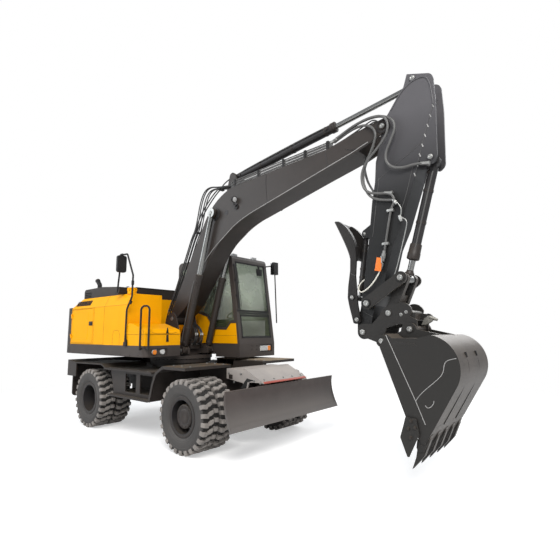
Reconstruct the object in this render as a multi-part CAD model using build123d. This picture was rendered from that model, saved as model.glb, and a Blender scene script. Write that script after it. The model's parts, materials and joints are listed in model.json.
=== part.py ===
"""Wheeled excavator with a twin-tyred undercarriage, a dozer blade, a mono boom and a bucket with a thumb.

All lengths are millimetres. The sizes below are set out from the slewing axis (X = 0, Y = 0) and the ground
(Z = 0), with +X forward and +Y to the machine's left. Every part is written out moved by ORIGIN_SHIFT, so the
finished model's origin is on the ground under the middle of its outline.
"""
import os
from math import atan2, cos, degrees, hypot, pi, sin

from build123d import *

# ---------------------------------------------------------------- driving sizes
PIN_GAP = 0.3            # radial gap of a pin or spindle in its bore
SIDE_GAP = 5             # gap beside a moving lug
PLAY = 12                # gap between a moving part and what it passes

TYRE_R = 525
TYRE_W = 278
LUGS = 26                # in each of a tyre's two staggered rows
LUG_SHARE = 0.5          # of the pitch at the top of a lug
GROOVE_R = 482
SIDEWALL_R = 400         # where the flat shoulder gives way to the sloping sidewall
SIDEWALL_DEPTH = 60
TWIN_PITCH = 325         # between the two tyres of a twin wheel
WHEELS_OUT = 1265        # outer face of the outer tyre
BEAD_R = 254
FLANGE_R = 290
RIM_IN_R = 235
HUB_R = 150
SPINDLE_R = 70
HUB_CAP_R = 170
FRONT_AXLE_X = 1700
REAR_AXLE_X = -1100
KINGPIN_Y = 740
KINGPIN_R = 45
AXLE_TUBE_R = 85
DIFF_R = 165

FRAME_HALF = 380
FRAME_Z0 = 700
FRAME_Z1 = 1060
FRAME_REAR_X = -1900
FRAME_FRONT_X = 2190
FRAME_NOSE_X = 1880      # where the side cheeks of the nose begin
CHEEK_T = 40
CHEEK_Z0 = 370
RING_R = 570
RING_BORE_R = 500
RING_Z0 = 1170
RING_Z1 = 1235

FENDER_TOP = 1215
FENDER_T = 14
FENDER_LIP = 45
FENDER_OUT = 1270
FENDER_FRONT_X = 1790
STEP_FRONT_X = 940
STEP_REAR_X = -540
STEP_OUT = 1262
GUARD_X = -2080
GUARD_T = 30
GUARD_HALF = 1235
GUARD_SIDE_X = -1710     # front edge of the guard's side plates
REAR_LAMP_Y = (1050, 1190)
REAR_LAMP_Z = (1010, 1130)

BLADE_HALF = 1255
BLADE_TOP = (2640, 956)
BLADE_MID = (2628, 740)
BLADE_FOOT = (2745, 450)
BLADE_T = 26
LINK_REAR = (1960, 430)  # lower blade arm's pin on the nose
LINK_FRONT = (2476, 675) # lower blade arm's pin on the blade
LINK_RISE = 250          # the upper arm's pins lie this far above
LINK_W = 60
LINK_Y = FRAME_HALF - CHEEK_T - LINK_W / 2 - 15
BLADE_CYL_BASE = (2010, 960)
BLADE_CYL_EYE = (2462, 590)
BLADE_CYL_Y = 130
BLADE_CYL_R = 50

COVER_HALF = 520
COVER_TOP = (2250, 1175)
COVER_FOOT = (2620, 992)
COVER_T = 14

TAIL_X = -2650
TAIL_CORNER_R = 700
TAIL_TOP = 2230
HOUSE_REAR_X = -1950
HOUSE_FRONT_X = -620
BODY_HALF = 1270
BODY_Z0 = 1507
BEVEL_Z = 2200
BEVEL_IN = 100
BODY_TOP = 2400
SKIRT_Z0 = 1325
DECK_Z0 = 1330
DECK_Z1 = 1400
SKIRT_DEPTH = 120        # from the body's side in to the deck
DECK_HALF = BODY_HALF - SKIRT_DEPTH
SKIRT_CORNER_R = 110
DECK_NOSE_X = 390         # front edge between the toolbox and the cab
SHEET = 30               # walls of the engine house and its doors
TANK_FRONT_X = 150
BODY_IN_Y = -580         # inner side of the right-hand body
TOOLBOX_FRONT_X = 740
TOOLBOX_TOP = 1880
TOOLBOX_SPLIT_Z = 1690
TOOLBOX_SLOPE_X = 290    # where the lid's top begins to fall
TOOLBOX_BROW = (660, 1780)
GRAB_POSTS = ((655, -BODY_HALF - 32), (800, 30 - BODY_HALF))  # plan places of the grab rail's posts
GRAB_FOOT_Z = 1440
GRAB_TOP_Z = 2150
DOOR_GAP = 6

CAB_IN = 330
CAB_OUT = 1300
CAB_Z0 = 1262
CAB_FLOOR_Z = 1400
CAB_BAND_Z = 1510
CAB_REAR_X = -600
CAB_FOOT_X = 1270
CAB_HEAD_X = 1040
CAB_EAVES_Z = 3120
CAB_TOP = 3190
CAB_WALL = 45
SILL_Z = 1610
WINDOW_TOP = 3040
GLASS_T = 6

ROOF_LAMPS_Y = (540, 1090)
ROOF_LAMP = (70, 110, 60)            # depth, width, height
BAND_RECESS = (873, 1224, 1345, 1478)     # Y and Z limits of the lamp pocket in the cab's band
BAND_LAMPS = ((907, 1081), (1099, 1189))  # Y limits of the lamps in it
SKIRT_RECESS = (115 - BODY_HALF, 430 - BODY_HALF, 1345,
                1460)  # Y and Z limits of the lamp pocket in the skirt's front
SKIRT_LAMPS_Y = (190 - BODY_HALF, 345 - BODY_HALF)
POCKET_DEPTH = 25
LOUVRE_X = (-1820, -1240)
LOUVRES_Z = (2262, 2284, 2306, 2328)
HOOD_SLOTS_Z = (2290, 2325, 2360, 2395, 2430, 2465, 2500, 2535)
HOOD_SLOT_X = (-2020, -1740)

BOOM_Y = -40             # the digging gear's own centre plane
BOOM_HALF = 200
ARM_HALF = 165
FORK_T = 28
BOOM_FOOT = (50, 1980)
ARM_PIN = (4450, 4370)
ARM_END = (4070, 1710)
FOOT_BOSS_R = 115
TIP_BOSS_R = 98
PIN_R = 45
FORK_X = 4085            # back of the fork at the boom's tip
EAR_T = 30

BOOM_CYL_BASE = (490, 1400)
BOOM_CYL_EYE = (1210, 3820)
BOOM_CYL_OFF = 280       # from the centre plane
BOOM_CYL_R = 70
BOOM_ROD_R = 45
BOOM_BARREL = 1400
LUG_W = 70
LUG_R = 85

ARM_CYL_BASE = (1540, 4460)
ARM_CYL_EYE = (4860, 4880)
ARM_CYL_R = 75
ARM_ROD_R = 38
ARM_BARREL = 2110

BUCKET_CYL_BASE = (5030, 3790)
LINK_PIN = (4620, 2360)
GUIDE_PIN = (4160, 2070)
COUPLER_PIN = (4430, 1940)
BUCKET_CYL_R = 62
BUCKET_ROD_R = 38
BUCKET_BARREL = 1240
GUIDE_IN = 215
GUIDE_T = 30
H_LINK_IN = 92
H_LINK_OUT = 162
COUPLER_IN = 172
COUPLER_T = 32
BUCKET_PIN_A = (4350, 1600)
BUCKET_PIN_B = (4710, 1740)
BUCKET_HALF = 560
BUCKET_EAR_IN = 212
BUCKET_EAR_T = 36
BUCKET_BACK_X = 5335
BUCKET_WALL = 22
BUCKET_MOUTH = ((4470, 1540), (4555, 1690), (4620, 1640), (4900, 1640))
BUCKET_BACK = ((5060, 1675), ((5230, 1585), (5325, 1420)), ((BUCKET_BACK_X, 1290), (5290, 1150)),
               (5040, 715),
               (4935, 545))
BUCKET_LIP = ((4900, 560), (4760, 760))
ROOM_MOUTH = ((4300, 1300), (4600, 1616), (4900, 1616))
ROOM_BACK = ((5045, 1652), ((5210, 1570), (5303, 1415)),
             ((BUCKET_BACK_X - BUCKET_WALL, 1290), (5270, 1160)),
             (5022, 728), (4870, 480))
ROOM_FOOT = (4500, 500)
TOOTH_TIP = (4780, 268)
TEETH = 5

THUMB_PIN = (4000, 1870)
THUMB_ROD_PIN = (3940, 2160)
THUMB_CYL_BASE = (4068, 3020)
THUMB_IN = 178
THUMB_T = 30
THUMB_CYL_R = 42
THUMB_BARREL = 760

ORIGIN_SHIFT = Location((-(TAIL_X + BUCKET_BACK_X) / 2, 0, 0))


# ---------------------------------------------------------------- shape helpers
def block(x0, x1, y0, y1, z0, z1):
    """A box between two values along each axis."""
    return Pos((x0 + x1) / 2, (y0 + y1) / 2, (z0 + z1) / 2) * Box(abs(x1 - x0), abs(y1 - y0), abs(z1 - z0))


def both(shape):
    """A shape and its mirror image across the machine's centre plane."""
    return [shape, mirror(shape, about=Plane.XZ)]


def both_sides(shape):
    """A shape and its mirror image across the digging gear's centre plane."""
    return [shape, mirror(shape, about=Plane.XZ.offset(-BOOM_Y))]


def outline(start, *steps):
    """A face in the XZ plane. A step is a point, or a (through, end) pair for an arc."""
    edges = []
    here = start
    for step in steps:
        if isinstance(step[0], tuple):
            through, end = step
            edges.append(ThreePointArc(*[(x, 0, z) for x, z in (here, through, end)]))
        else:
            end = step
            edges.append(Line((here[0], 0, here[1]), (end[0], 0, end[1])))
        here = end
    edges.append(Line((here[0], 0, here[1]), (start[0], 0, start[1])))
    return Face(Wire(edges))


def slab(face, y0, y1):
    """An XZ face made solid between two Y planes."""
    return Pos(0, min(y0, y1), 0) * extrude(face, amount=abs(y1 - y0), dir=(0, 1, 0))


def slabs(face, inner, outer, middle=0):
    """Two slabs, each from inner to outer on its side of the plane Y = middle."""
    return slab(face, middle + inner, middle + outer) + slab(face, middle - outer, middle - inner)


def bar(start, end, radius):
    """A round bar between two points."""
    run = Vector(end) - Vector(start)
    return Plane(origin=start, z_dir=run) * Cylinder(radius, run.length,
                                                     align=(Align.CENTER, Align.CENTER, Align.MIN))


def pin(at, radius, y0, y1):
    """A round bar along Y through an XZ point."""
    return bar((at[0], min(y0, y1), at[1]), (at[0], max(y0, y1), at[1]), radius)


def pins(at, radius, inner, outer, middle=0):
    """Two round bars along Y, one on each side of the plane Y = middle."""
    return pin(at, radius, middle + inner, middle + outer) + pin(at, radius, middle - outer, middle - inner)


def along(start, end, distance, aside=0):
    """The XZ point at a distance from start towards end, moved aside to the left of that way."""
    span = hypot(end[0] - start[0], end[1] - start[1])
    ux, uz = (end[0] - start[0]) / span, (end[1] - start[1]) / span
    return (start[0] + ux * distance - uz * aside, start[1] + uz * distance + ux * aside)


def strap(start, end, width, y0, y1):
    """A flat link with round ends between two XZ points."""
    half = width / 2
    left = along(start, end, 0, half), along(end, start, 0, -half)
    right = along(end, start, 0, half), along(start, end, 0, -half)
    face = outline(left[0], left[1], (along(end, start, -half), right[0]), right[1])
    return slab(face, y0, y1) + pin(start, half, y0, y1)


def turned(face_points, at_y, y_sign):
    """A wheel part: a closed outline of (offset outwards, radius) points turned about the axle line."""
    points = [(radius, at_y + y_sign * offset, 0) for offset, radius in face_points]
    face = make_face(Polyline(*points, close=True).edges())
    return revolve(face, axis=Axis.Y)


def tube(points, radius, bend):
    """A round tube along straight runs with rounded corners."""
    path = FilletPolyline(*points, radius=bend)
    start = Vector(points[0])
    return sweep(Plane(origin=start, z_dir=Vector(points[1]) - start) * Circle(radius), path=path)


PARTS = {}


def keep(name, *shapes):
    """Store a node made of one or more solids."""
    solids = []
    for shape in shapes:
        for piece in shape if isinstance(shape, (list, tuple)) else [shape]:
            solids.extend(piece.solids())
    PARTS[name] = solids[0] if len(solids) == 1 else Compound(solids)


# ---------------------------------------------------------------- wheels
TWIN_MID = WHEELS_OUT - TYRE_W / 2 - TWIN_PITCH / 2      # middle of a twin wheel


def lug_row(phase, y0, y1):
    """Half a tyre between two Y planes: a toothed outline turned on by a share of the lugs' pitch."""
    pitch = 2 * pi / LUGS
    points = []
    for i in range(LUGS):
        middle = (i + phase) * pitch
        for radius, angle in ((TYRE_R, middle - LUG_SHARE * pitch / 2),
                              (TYRE_R, middle + LUG_SHARE * pitch / 2),
                              (GROOVE_R, middle + pitch / 2)):
            points.append((radius * cos(angle), 0, radius * sin(angle)))
    return slab(make_face(Polyline(*points, close=True).edges()), y0, y1)


def make_tyre():
    """One tyre about the Y axis: two staggered rows of lugs on a ring with sloping sidewalls."""
    half = TYRE_W / 2
    tyre = lug_row(0, -half, 0) + lug_row(0.5, 0, half)
    bore_r = BEAD_R + PIN_GAP
    tyre -= slab(ring_face(bore_r), -half - 10, half + 10)
    slope = degrees(atan2(SIDEWALL_R - bore_r, SIDEWALL_DEPTH))
    for y, way in ((-half, 1), (half, -1)):
        tyre -= Pos(0, y, 0) * extrude(ring_face(SIDEWALL_R), amount=SIDEWALL_DEPTH, dir=(0, way, 0),
                                       taper=slope)
    return tyre


def ring_face(flat_r):
    """A regular face about the Y axis whose flats lie at a radius."""
    return Plane.XZ * RegularPolygon(flat_r, 16, major_radius=False)


def rim_ring():
    """Half section of one rim ring, as offsets from its tyre's middle and radii."""
    half = TYRE_W / 2
    seat = 0.68 * half
    return [
        (-seat - 16, RIM_IN_R), (-seat - 16, FLANGE_R), (-seat, FLANGE_R), (-seat, BEAD_R),
        (seat, BEAD_R), (seat, FLANGE_R), (seat + 16, FLANGE_R), (seat + 16, RIM_IN_R),
    ]


def twin_wheel(side, axle_x, capped, tyre):
    """The tyres and the joined rims of a twin wheel, side +1 for left."""
    place = Pos(axle_x, 0, TYRE_R)
    near = side * (TWIN_MID - TWIN_PITCH / 2)
    far = side * (TWIN_MID + TWIN_PITCH / 2)
    tyres = [place * Pos(0, y, 0) * tyre for y in (near, far)]
    middle = side * TWIN_MID
    web = turned([(-60, SPINDLE_R + PIN_GAP), (-60, HUB_R), (-70, RIM_IN_R), (70, RIM_IN_R), (40, HUB_R),
                  (40, SPINDLE_R + PIN_GAP)], middle, side)
    rim = web
    for y in (near, far):
        rim += turned(rim_ring(), y, side)
    inner, outer = (40, 235) if capped else (40, 95)
    cap_r = HUB_CAP_R if capped else HUB_R
    rim += turned([(inner, 0), (inner, cap_r), (outer - 15, cap_r), (outer, cap_r - 15), (outer, 0)],
                  middle, side)
    return tyres, place * rim


def make_wheels():
    tyre = make_tyre()
    for end, axle_x, capped in (("front", FRONT_AXLE_X, True), ("rear", REAR_AXLE_X, False)):
        for word, side in (("left", 1), ("right", -1)):
            tyres, rim = twin_wheel(side, axle_x, capped, tyre)
            keep(f"tyres_{end}_{word}", tyres)
            keep(f"rims_{end}_{word}", rim)


def make_axles():
    spindle_end = TWIN_MID + 40 - 1
    yoke_y = KINGPIN_Y + 55
    rear = bar((REAR_AXLE_X, -620, TYRE_R), (REAR_AXLE_X, 620, TYRE_R), AXLE_TUBE_R)
    rear += bar((REAR_AXLE_X, -spindle_end, TYRE_R), (REAR_AXLE_X, spindle_end, TYRE_R), SPINDLE_R)
    rear += Pos(REAR_AXLE_X, 0, TYRE_R) * Sphere(DIFF_R)
    front = bar((FRONT_AXLE_X, -590, TYRE_R), (FRONT_AXLE_X, 590, TYRE_R), AXLE_TUBE_R)
    front += Pos(FRONT_AXLE_X, 0, TYRE_R) * Sphere(DIFF_R)
    for side in (1, -1):
        for axle_x, axle in ((REAR_AXLE_X, "rear"), (FRONT_AXLE_X, "front")):
            saddle = block(axle_x - 70, axle_x + 70, side * 200, side * 330, TYRE_R, FRAME_Z0)
            if axle == "rear":
                rear += saddle
            else:
                front += saddle
        fork = block(FRONT_AXLE_X - 60, FRONT_AXLE_X + 60, side * 560, side * 600, TYRE_R - 150,
                     TYRE_R + 150)
        for z0, z1 in ((-150, -108), (108, 150)):
            ear = block(FRONT_AXLE_X - 55, FRONT_AXLE_X + 55, side * 600, side * yoke_y, TYRE_R + z0,
                        TYRE_R + z1)
            fork += ear
        front += fork
        front -= bar((FRONT_AXLE_X, side * KINGPIN_Y, TYRE_R - 200),
                     (FRONT_AXLE_X, side * KINGPIN_Y, TYRE_R + 200),
                     KINGPIN_R + PIN_GAP)
        word = "left" if side > 0 else "right"
        knuckle = bar((FRONT_AXLE_X, side * KINGPIN_Y, TYRE_R - 150),
                      (FRONT_AXLE_X, side * KINGPIN_Y, TYRE_R + 150),
                      KINGPIN_R)
        knuckle += bar((FRONT_AXLE_X, side * KINGPIN_Y, TYRE_R - 100),
                       (FRONT_AXLE_X, side * KINGPIN_Y, TYRE_R + 100), 75)
        knuckle += bar((FRONT_AXLE_X, side * (KINGPIN_Y - 50), TYRE_R),
                       (FRONT_AXLE_X, side * spindle_end, TYRE_R),
                       SPINDLE_R)
        keep(f"knuckle_{word}", knuckle)
    keep("axle_rear", rear)
    keep("axle_front", front)


# ---------------------------------------------------------------- undercarriage
def make_frame():
    frame = block(FRAME_REAR_X, FRAME_NOSE_X, -FRAME_HALF, FRAME_HALF, FRAME_Z0, FRAME_Z1)
    cheek = outline((FRAME_NOSE_X - 40, CHEEK_Z0), (FRAME_FRONT_X - 90, CHEEK_Z0),
                    (FRAME_FRONT_X, CHEEK_Z0 + 130),
                    (FRAME_FRONT_X, FRAME_Z1), (FRAME_NOSE_X - 40, FRAME_Z1))
    frame += slabs(cheek, FRAME_HALF - CHEEK_T, FRAME_HALF)
    frame += block(FRAME_NOSE_X, FRAME_FRONT_X, -FRAME_HALF, FRAME_HALF, FRAME_Z1 - 35, FRAME_Z1)
    frame += Pos(0, 0, (FRAME_Z1 + RING_Z0) / 2) * Cylinder(RING_R - 40, RING_Z0 - FRAME_Z1)
    ring = Pos(0, 0, (RING_Z0 + RING_Z1) / 2) * Cylinder(RING_R, RING_Z1 - RING_Z0)
    frame += ring
    frame -= Pos(0, 0, RING_Z1) * Cylinder(RING_BORE_R, 60)
    for rise in (0, LINK_RISE):
        at = (LINK_REAR[0], LINK_REAR[1] + rise)
        frame += pins(at, PIN_R, LINK_Y - LINK_W / 2 - 30, FRAME_HALF)
    base_in = BLADE_CYL_Y - LUG_W / 2 - SIDE_GAP - 20
    hanger = outline((BLADE_CYL_BASE[0] - 60, FRAME_Z1 - 20),
                     (BLADE_CYL_BASE[0] - 45, BLADE_CYL_BASE[1] - 35),
                     (BLADE_CYL_BASE[0] + 35, BLADE_CYL_BASE[1] - 35), (BLADE_CYL_BASE[0] + 50,
                                                                        FRAME_Z1 - 20))
    frame += slabs(hanger, base_in, base_in + 20)
    frame += pins(BLADE_CYL_BASE, 25, base_in, BLADE_CYL_Y + LUG_W / 2 + SIDE_GAP)
    keep("chassis_frame", frame)


def make_front_fenders():
    """Bent plate fenders over the front wheels, with a lip outside and in front."""
    top, low = FENDER_TOP, FENDER_TOP - FENDER_T
    front = FENDER_FRONT_X
    skin = outline((front, top), (1235, top), (1050, 1112), (965, 940), (880, 650),
                   (880 + FENDER_T, 650), (965 + FENDER_T, 936), (1050 + FENDER_T, 1104), (1240, low),
                   (front, low))
    lip = outline((front, top), (1235, top), (1050, 1112), (965, 940), (880, 650), (925, 650),
                  (1005, 925), (1085, 1085), (1245, top - FENDER_LIP), (front, top - FENDER_LIP))
    side = slab(skin, -FENDER_OUT, -FRAME_HALF - 1)
    side += slab(lip, -FENDER_OUT, -FENDER_OUT + FENDER_T)
    side += block(front - FENDER_T, front, -FENDER_OUT, -FRAME_HALF, top - FENDER_LIP, top)
    side += block(1060, front, -FRAME_HALF - 20, -FRAME_HALF, FRAME_Z1 - 90, low + 2)
    keep("fenders_front", both(side))


def make_side_steps():
    """Step boxes between the wheels: two treads and a web with two openings on each side."""
    y_out, y_in = -STEP_OUT, -FRAME_HALF
    box_out = -640
    side = block(STEP_REAR_X + 20, STEP_FRONT_X - 60, box_out, y_in, FRAME_Z0 + 10, FRAME_Z1)
    side += block(STEP_REAR_X, STEP_FRONT_X, y_out, box_out, 1078, 1106)
    side += block(STEP_REAR_X + 20, STEP_FRONT_X, box_out - 40, y_in, FRAME_Z1 - 10, 1106)
    side += block(-390, 850, y_out, box_out + 40, 640, 666)
    web_y = y_out + 95
    web = outline((-480, 1080), (-330, 650), (870, 650), (925, 850), (935, 1080))
    panel = slab(web, web_y, web_y + 20)
    for x0, x1 in ((30, 360), (480, 840)):
        panel -= block(x0, x1, web_y - 10, web_y + 40, 730, 1030)
    side += panel
    side -= Pos(0, 0, FRAME_Z1 + 60) * Cylinder(RING_R - 38, 120)
    side += block(-360, 840, web_y, box_out + 40, 650, 700)
    keep("side_steps", both(side))


def make_rear_guard():
    """The rear cross plate, its hanging plates, the rear fenders and the towing clevis."""
    body = block(GUARD_X, GUARD_X + GUARD_T, -GUARD_HALF, GUARD_HALF, 890, 1190)
    body += block(GUARD_X, FRAME_REAR_X, -FRAME_HALF + 40, FRAME_HALF - 40, 760, 1050)
    fender = outline((GUARD_X, 1150), (GUARD_X + 60, 1190), (-1780, 1150), (-700, 1165), (-560, 1105),
                     (-600, 1060), (-620, 1060), (-600, 1100), (-720, 1145), (-1780, 1130), (GUARD_X, 1130))
    for side in (1, -1):
        hang = block(GUARD_X, GUARD_X + GUARD_T, side * 930, side * 1130, 460, 900)
        body += fillet(hang.edges().filter_by(Axis.X).group_by(Axis.Z)[0], 70)
        body += slab(fender, side * FRAME_HALF, side * GUARD_HALF)
        body += block(GUARD_X + 10, FRAME_REAR_X + 300, side * FRAME_HALF, side * (FRAME_HALF + 30), 900,
                      1140)
        body += block(GUARD_X - 90, GUARD_X, side * 40, side * 70, 800, 900)
        body += slab(outline((GUARD_X, 880), (GUARD_SIDE_X, 880), (GUARD_SIDE_X, 1150), (GUARD_X, 1190)),
                     side * (GUARD_HALF - 20), side * GUARD_HALF)
    body -= bar((GUARD_X - 50, -100, 850), (GUARD_X - 50, 100, 850), 26)
    keep("rear_guard", body)
    lamps = []
    for side in (1, -1):
        lamp = block(GUARD_X - 30, GUARD_X, side * REAR_LAMP_Y[0], side * REAR_LAMP_Y[1], *REAR_LAMP_Z)
        lamps.append(fillet(lamp.edges().group_by(Axis.X)[0], 10))
    keep("lamps_rear", lamps)


def make_front_guard():
    """The sloping cover over the blade's cylinders with its side plates."""
    (x0, z0), (x1, z1) = COVER_TOP, COVER_FOOT
    plate = outline((x0, z0), (x1, z1), (x1 - 6, z1 - COVER_T), (x0 - 6, z0 - COVER_T))
    guard = slab(plate, -COVER_HALF, COVER_HALF)
    back = FRAME_FRONT_X
    guard += block(back, back + 16, -COVER_HALF, COVER_HALF, 1000, z0 - COVER_T)
    guard += block(1850, back + 16, -COVER_HALF, COVER_HALF, z0 - 30, z0 - COVER_T)
    guard += block(back, x0, -COVER_HALF, COVER_HALF, z0 - 30, z0 - COVER_T)
    wing = outline((1850, z0 - COVER_T), (x0, z0 - COVER_T), (x1 - 20, z1 - COVER_T + 9), (2440, 985),
                   (2330, 985),
                   (2260, 780), (back + 16, 760), (back + 16, 965), (1850, 1010))
    guard += slabs(wing, COVER_HALF - 20, COVER_HALF)
    guard += block(1850, 1870, -COVER_HALF, COVER_HALF, FRAME_Z1, z0 - COVER_T)
    keep("front_guard", guard)


def make_blade():
    rear_top = (BLADE_TOP[0] - BLADE_T, BLADE_TOP[1])
    rear_mid = (BLADE_MID[0] - BLADE_T, BLADE_MID[1])
    rear_foot = (BLADE_FOOT[0] - BLADE_T - 8, BLADE_FOOT[1])
    board = outline(BLADE_TOP, (BLADE_MID, BLADE_FOOT), rear_foot, (rear_mid, rear_top))
    blade = slab(board, -BLADE_HALF, BLADE_HALF)
    spine = outline((2552, 650), (2552, 750), (2602, 800), (2608, 610))
    blade += slab(spine, -1050, 1050)
    blade += block(2600, BLADE_TOP[0] - 10, -BLADE_HALF, BLADE_HALF, BLADE_TOP[1] - 26, BLADE_TOP[1] - 2)
    low, high = LINK_FRONT, (LINK_FRONT[0], LINK_FRONT[1] + LINK_RISE)
    ear = outline((low[0] - 55, low[1] - 55), (2625, low[1] - 70), (2605, 780), (2625, high[1] + 20),
                  (high[0] + 40, high[1] + 50), (high[0] - 50, high[1] + 50))
    outer = LINK_Y + LINK_W / 2 + SIDE_GAP
    blade += slabs(ear, outer, outer + 25)
    for at in (low, high):
        blade += pins(at, PIN_R - 10, LINK_Y - LINK_W / 2, outer + 25)
    eye_in = BLADE_CYL_Y - LUG_W / 2 - SIDE_GAP - 20
    eye_ear = outline((BLADE_CYL_EYE[0] - 40, BLADE_CYL_EYE[1] - 60), (2632, 560), (2612, 680),
                      (BLADE_CYL_EYE[0] - 30, BLADE_CYL_EYE[1] + 60))
    blade += slabs(eye_ear, eye_in, eye_in + 20)
    keep("blade", blade)
    for name, rise in (("blade_arms_lower", 0), ("blade_arms_upper", LINK_RISE)):
        start = (LINK_REAR[0], LINK_REAR[1] + rise)
        end = (LINK_FRONT[0], LINK_FRONT[1] + rise)
        arm = strap(start, end, 120, -LINK_Y - LINK_W / 2, -LINK_Y + LINK_W / 2)
        if rise == 0:
            tie = [along(start, end, 150, 25), along(start, end, 150, -25), along(start, end, 215, -25),
                   along(start, end, 215, 25)]
            arm += slab(outline(*tie), -LINK_Y, 0)
        arm -= pin(start, PIN_R + PIN_GAP, -500, 0)
        arm -= pin(end, PIN_R - 10 + PIN_GAP, -500, 0)
        keep(name, arm + mirror(arm, about=Plane.XZ) if rise == 0 else both(arm))


def cylinder_barrel(base, eye, y, radius, length, lug_w, lug_r, hole_r):
    """A barrel from its lug to its gland, lying between two XZ points."""
    start, end = along(base, eye, lug_r + 20), along(base, eye, length)
    gland = along(base, eye, length - 70)
    barrel = bar((start[0], y, start[1]), (end[0], y, end[1]), radius)
    barrel += bar((base[0], y, base[1]), (end[0], y, end[1]), lug_w / 2)
    barrel += bar((gland[0], y, gland[1]), (end[0], y, end[1]), radius + 8)
    barrel += pin(base, lug_r, y - lug_w / 2, y + lug_w / 2)
    barrel -= pin(base, hole_r + PIN_GAP, y - 200, y + 200)
    return barrel


def cylinder_rod(base, eye, y, radius, bore_from, lug_w, lug_r):
    """A rod from inside its barrel to its lug."""
    start = along(base, eye, bore_from)
    rod = bar((start[0], y, start[1]), (eye[0], y, eye[1]), radius)
    return rod + pin(eye, lug_r, y - lug_w / 2, y + lug_w / 2)


def bored(barrel, base, eye, y, rod_r, deep, length):
    """A barrel with the bore its rod slides in."""
    start, end = along(base, eye, deep), along(base, eye, length + 20)
    return barrel - bar((start[0], y, start[1]), (end[0], y, end[1]), rod_r + PIN_GAP)


def make_blade_cylinders():
    span = hypot(BLADE_CYL_EYE[0] - BLADE_CYL_BASE[0], BLADE_CYL_EYE[1] - BLADE_CYL_BASE[1])
    length = span - 75
    barrel = cylinder_barrel(BLADE_CYL_BASE, BLADE_CYL_EYE, -BLADE_CYL_Y, BLADE_CYL_R, length, LUG_W, 50,
                             25)
    barrel = bored(barrel, BLADE_CYL_BASE, BLADE_CYL_EYE, -BLADE_CYL_Y, 30, 60, length)
    rod = cylinder_rod(BLADE_CYL_BASE, BLADE_CYL_EYE, -BLADE_CYL_Y, 30, 65, LUG_W, 45)
    keep("blade_cylinder_barrels", both(barrel))
    keep("blade_cylinder_rods", both(rod))


# ---------------------------------------------------------------- upper structure
def make_deck():
    deck = block(HOUSE_REAR_X, DECK_NOSE_X, -DECK_HALF, CAB_IN - 10, DECK_Z0, DECK_Z1)
    deck += block(DECK_NOSE_X - 10, TOOLBOX_FRONT_X - 40, -DECK_HALF, BODY_IN_Y, DECK_Z0, DECK_Z1)
    deck += block(HOUSE_REAR_X, HOUSE_FRONT_X, -DECK_HALF, DECK_HALF, DECK_Z0, DECK_Z1)
    skirt_end = TOOLBOX_FRONT_X - SKIRT_CORNER_R - 10
    deck += block(HOUSE_REAR_X, skirt_end + 5, -BODY_HALF, -DECK_HALF, SKIRT_Z0, BODY_Z0)
    deck += block(HOUSE_REAR_X, HOUSE_FRONT_X, DECK_HALF, BODY_HALF, SKIRT_Z0, BODY_Z0)
    skirt_front = block(skirt_end, TOOLBOX_FRONT_X, -BODY_HALF, BODY_IN_Y, SKIRT_Z0, BODY_Z0)
    corner = skirt_front.edges().filter_by(Axis.Z).group_by(Axis.X)[-1].sort_by(Axis.Y)[0]
    deck += fillet(corner, SKIRT_CORNER_R)
    deck += block(CAB_REAR_X, RING_R + 30, CAB_IN - 10, DECK_HALF - 40, DECK_Z0 - 20, DECK_Z0 + 20)
    deck += Pos(0, 0, RING_Z1 + 38) * Cylinder(RING_R + 20, 60)
    deck += Pos(0, 0, DECK_Z0 - 20) * Cylinder(RING_R - 180, 60)
    deck += Pos(0, 0, RING_Z1) * Cylinder(RING_BORE_R - PIN_GAP, 40)
    ear_in = BOOM_HALF + SIDE_GAP
    foot_ear = outline((-420, DECK_Z1 - 10), (-60, 2070), ((50, BOOM_FOOT[1] + 120), (165, 2010)),
                       (330, 1560),
                       (430, 1482), ((500, 1484), (570, 1430)), (575, 1340), (520, DECK_Z0),
                       (-420, DECK_Z0))
    deck += slabs(foot_ear, ear_in, ear_in + EAR_T, BOOM_Y)
    lug_out = BOOM_CYL_OFF + LUG_W / 2 + SIDE_GAP
    cyl_ear = outline((300, DECK_Z1), (430, 1470), ((490, 1480), (550, 1460)), (580, 1370), (520, DECK_Z0),
                      (300, DECK_Z0))
    deck += slabs(cyl_ear, lug_out, lug_out + 22, BOOM_Y)
    deck += block(300, DECK_NOSE_X, BOOM_Y - lug_out, BOOM_Y + lug_out, DECK_Z0, DECK_Z1 + 20)
    deck += pin(BOOM_FOOT, PIN_R + 10, BOOM_Y - ear_in - EAR_T, BOOM_Y + ear_in + EAR_T)
    deck += pins(BOOM_CYL_BASE, PIN_R, ear_in, lug_out + 22, BOOM_Y)
    deck -= block(TOOLBOX_FRONT_X - POCKET_DEPTH, TOOLBOX_FRONT_X + 10, *SKIRT_RECESS)
    keep("deck", deck)


def make_counterweight():
    front, half = HOUSE_REAR_X, BODY_HALF - 2
    weight = block(TAIL_X, front, -half, half, SKIRT_Z0, TAIL_TOP)
    corners = weight.edges().filter_by(Axis.Z).group_by(Axis.X)[0]
    weight = fillet(corners, TAIL_CORNER_R - 1)
    keep("counterweight", weight)


def body_face(y_left, y_right):
    """The engine house's cross section between two Y planes, bevelled where it meets the outer sides."""
    points = [(y_right, BODY_Z0)]
    if y_right <= -BODY_HALF:
        points += [(y_right, BEVEL_Z), (y_right + BEVEL_IN, BODY_TOP)]
    else:
        points += [(y_right, BODY_TOP)]
    if y_left >= BODY_HALF:
        points += [(y_left - BEVEL_IN, BODY_TOP), (y_left, BEVEL_Z)]
    else:
        points += [(y_left, BODY_TOP)]
    points += [(y_left, BODY_Z0)]
    return make_face(Polyline(*[(0, y, z) for y, z in points], close=True).edges())


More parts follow.
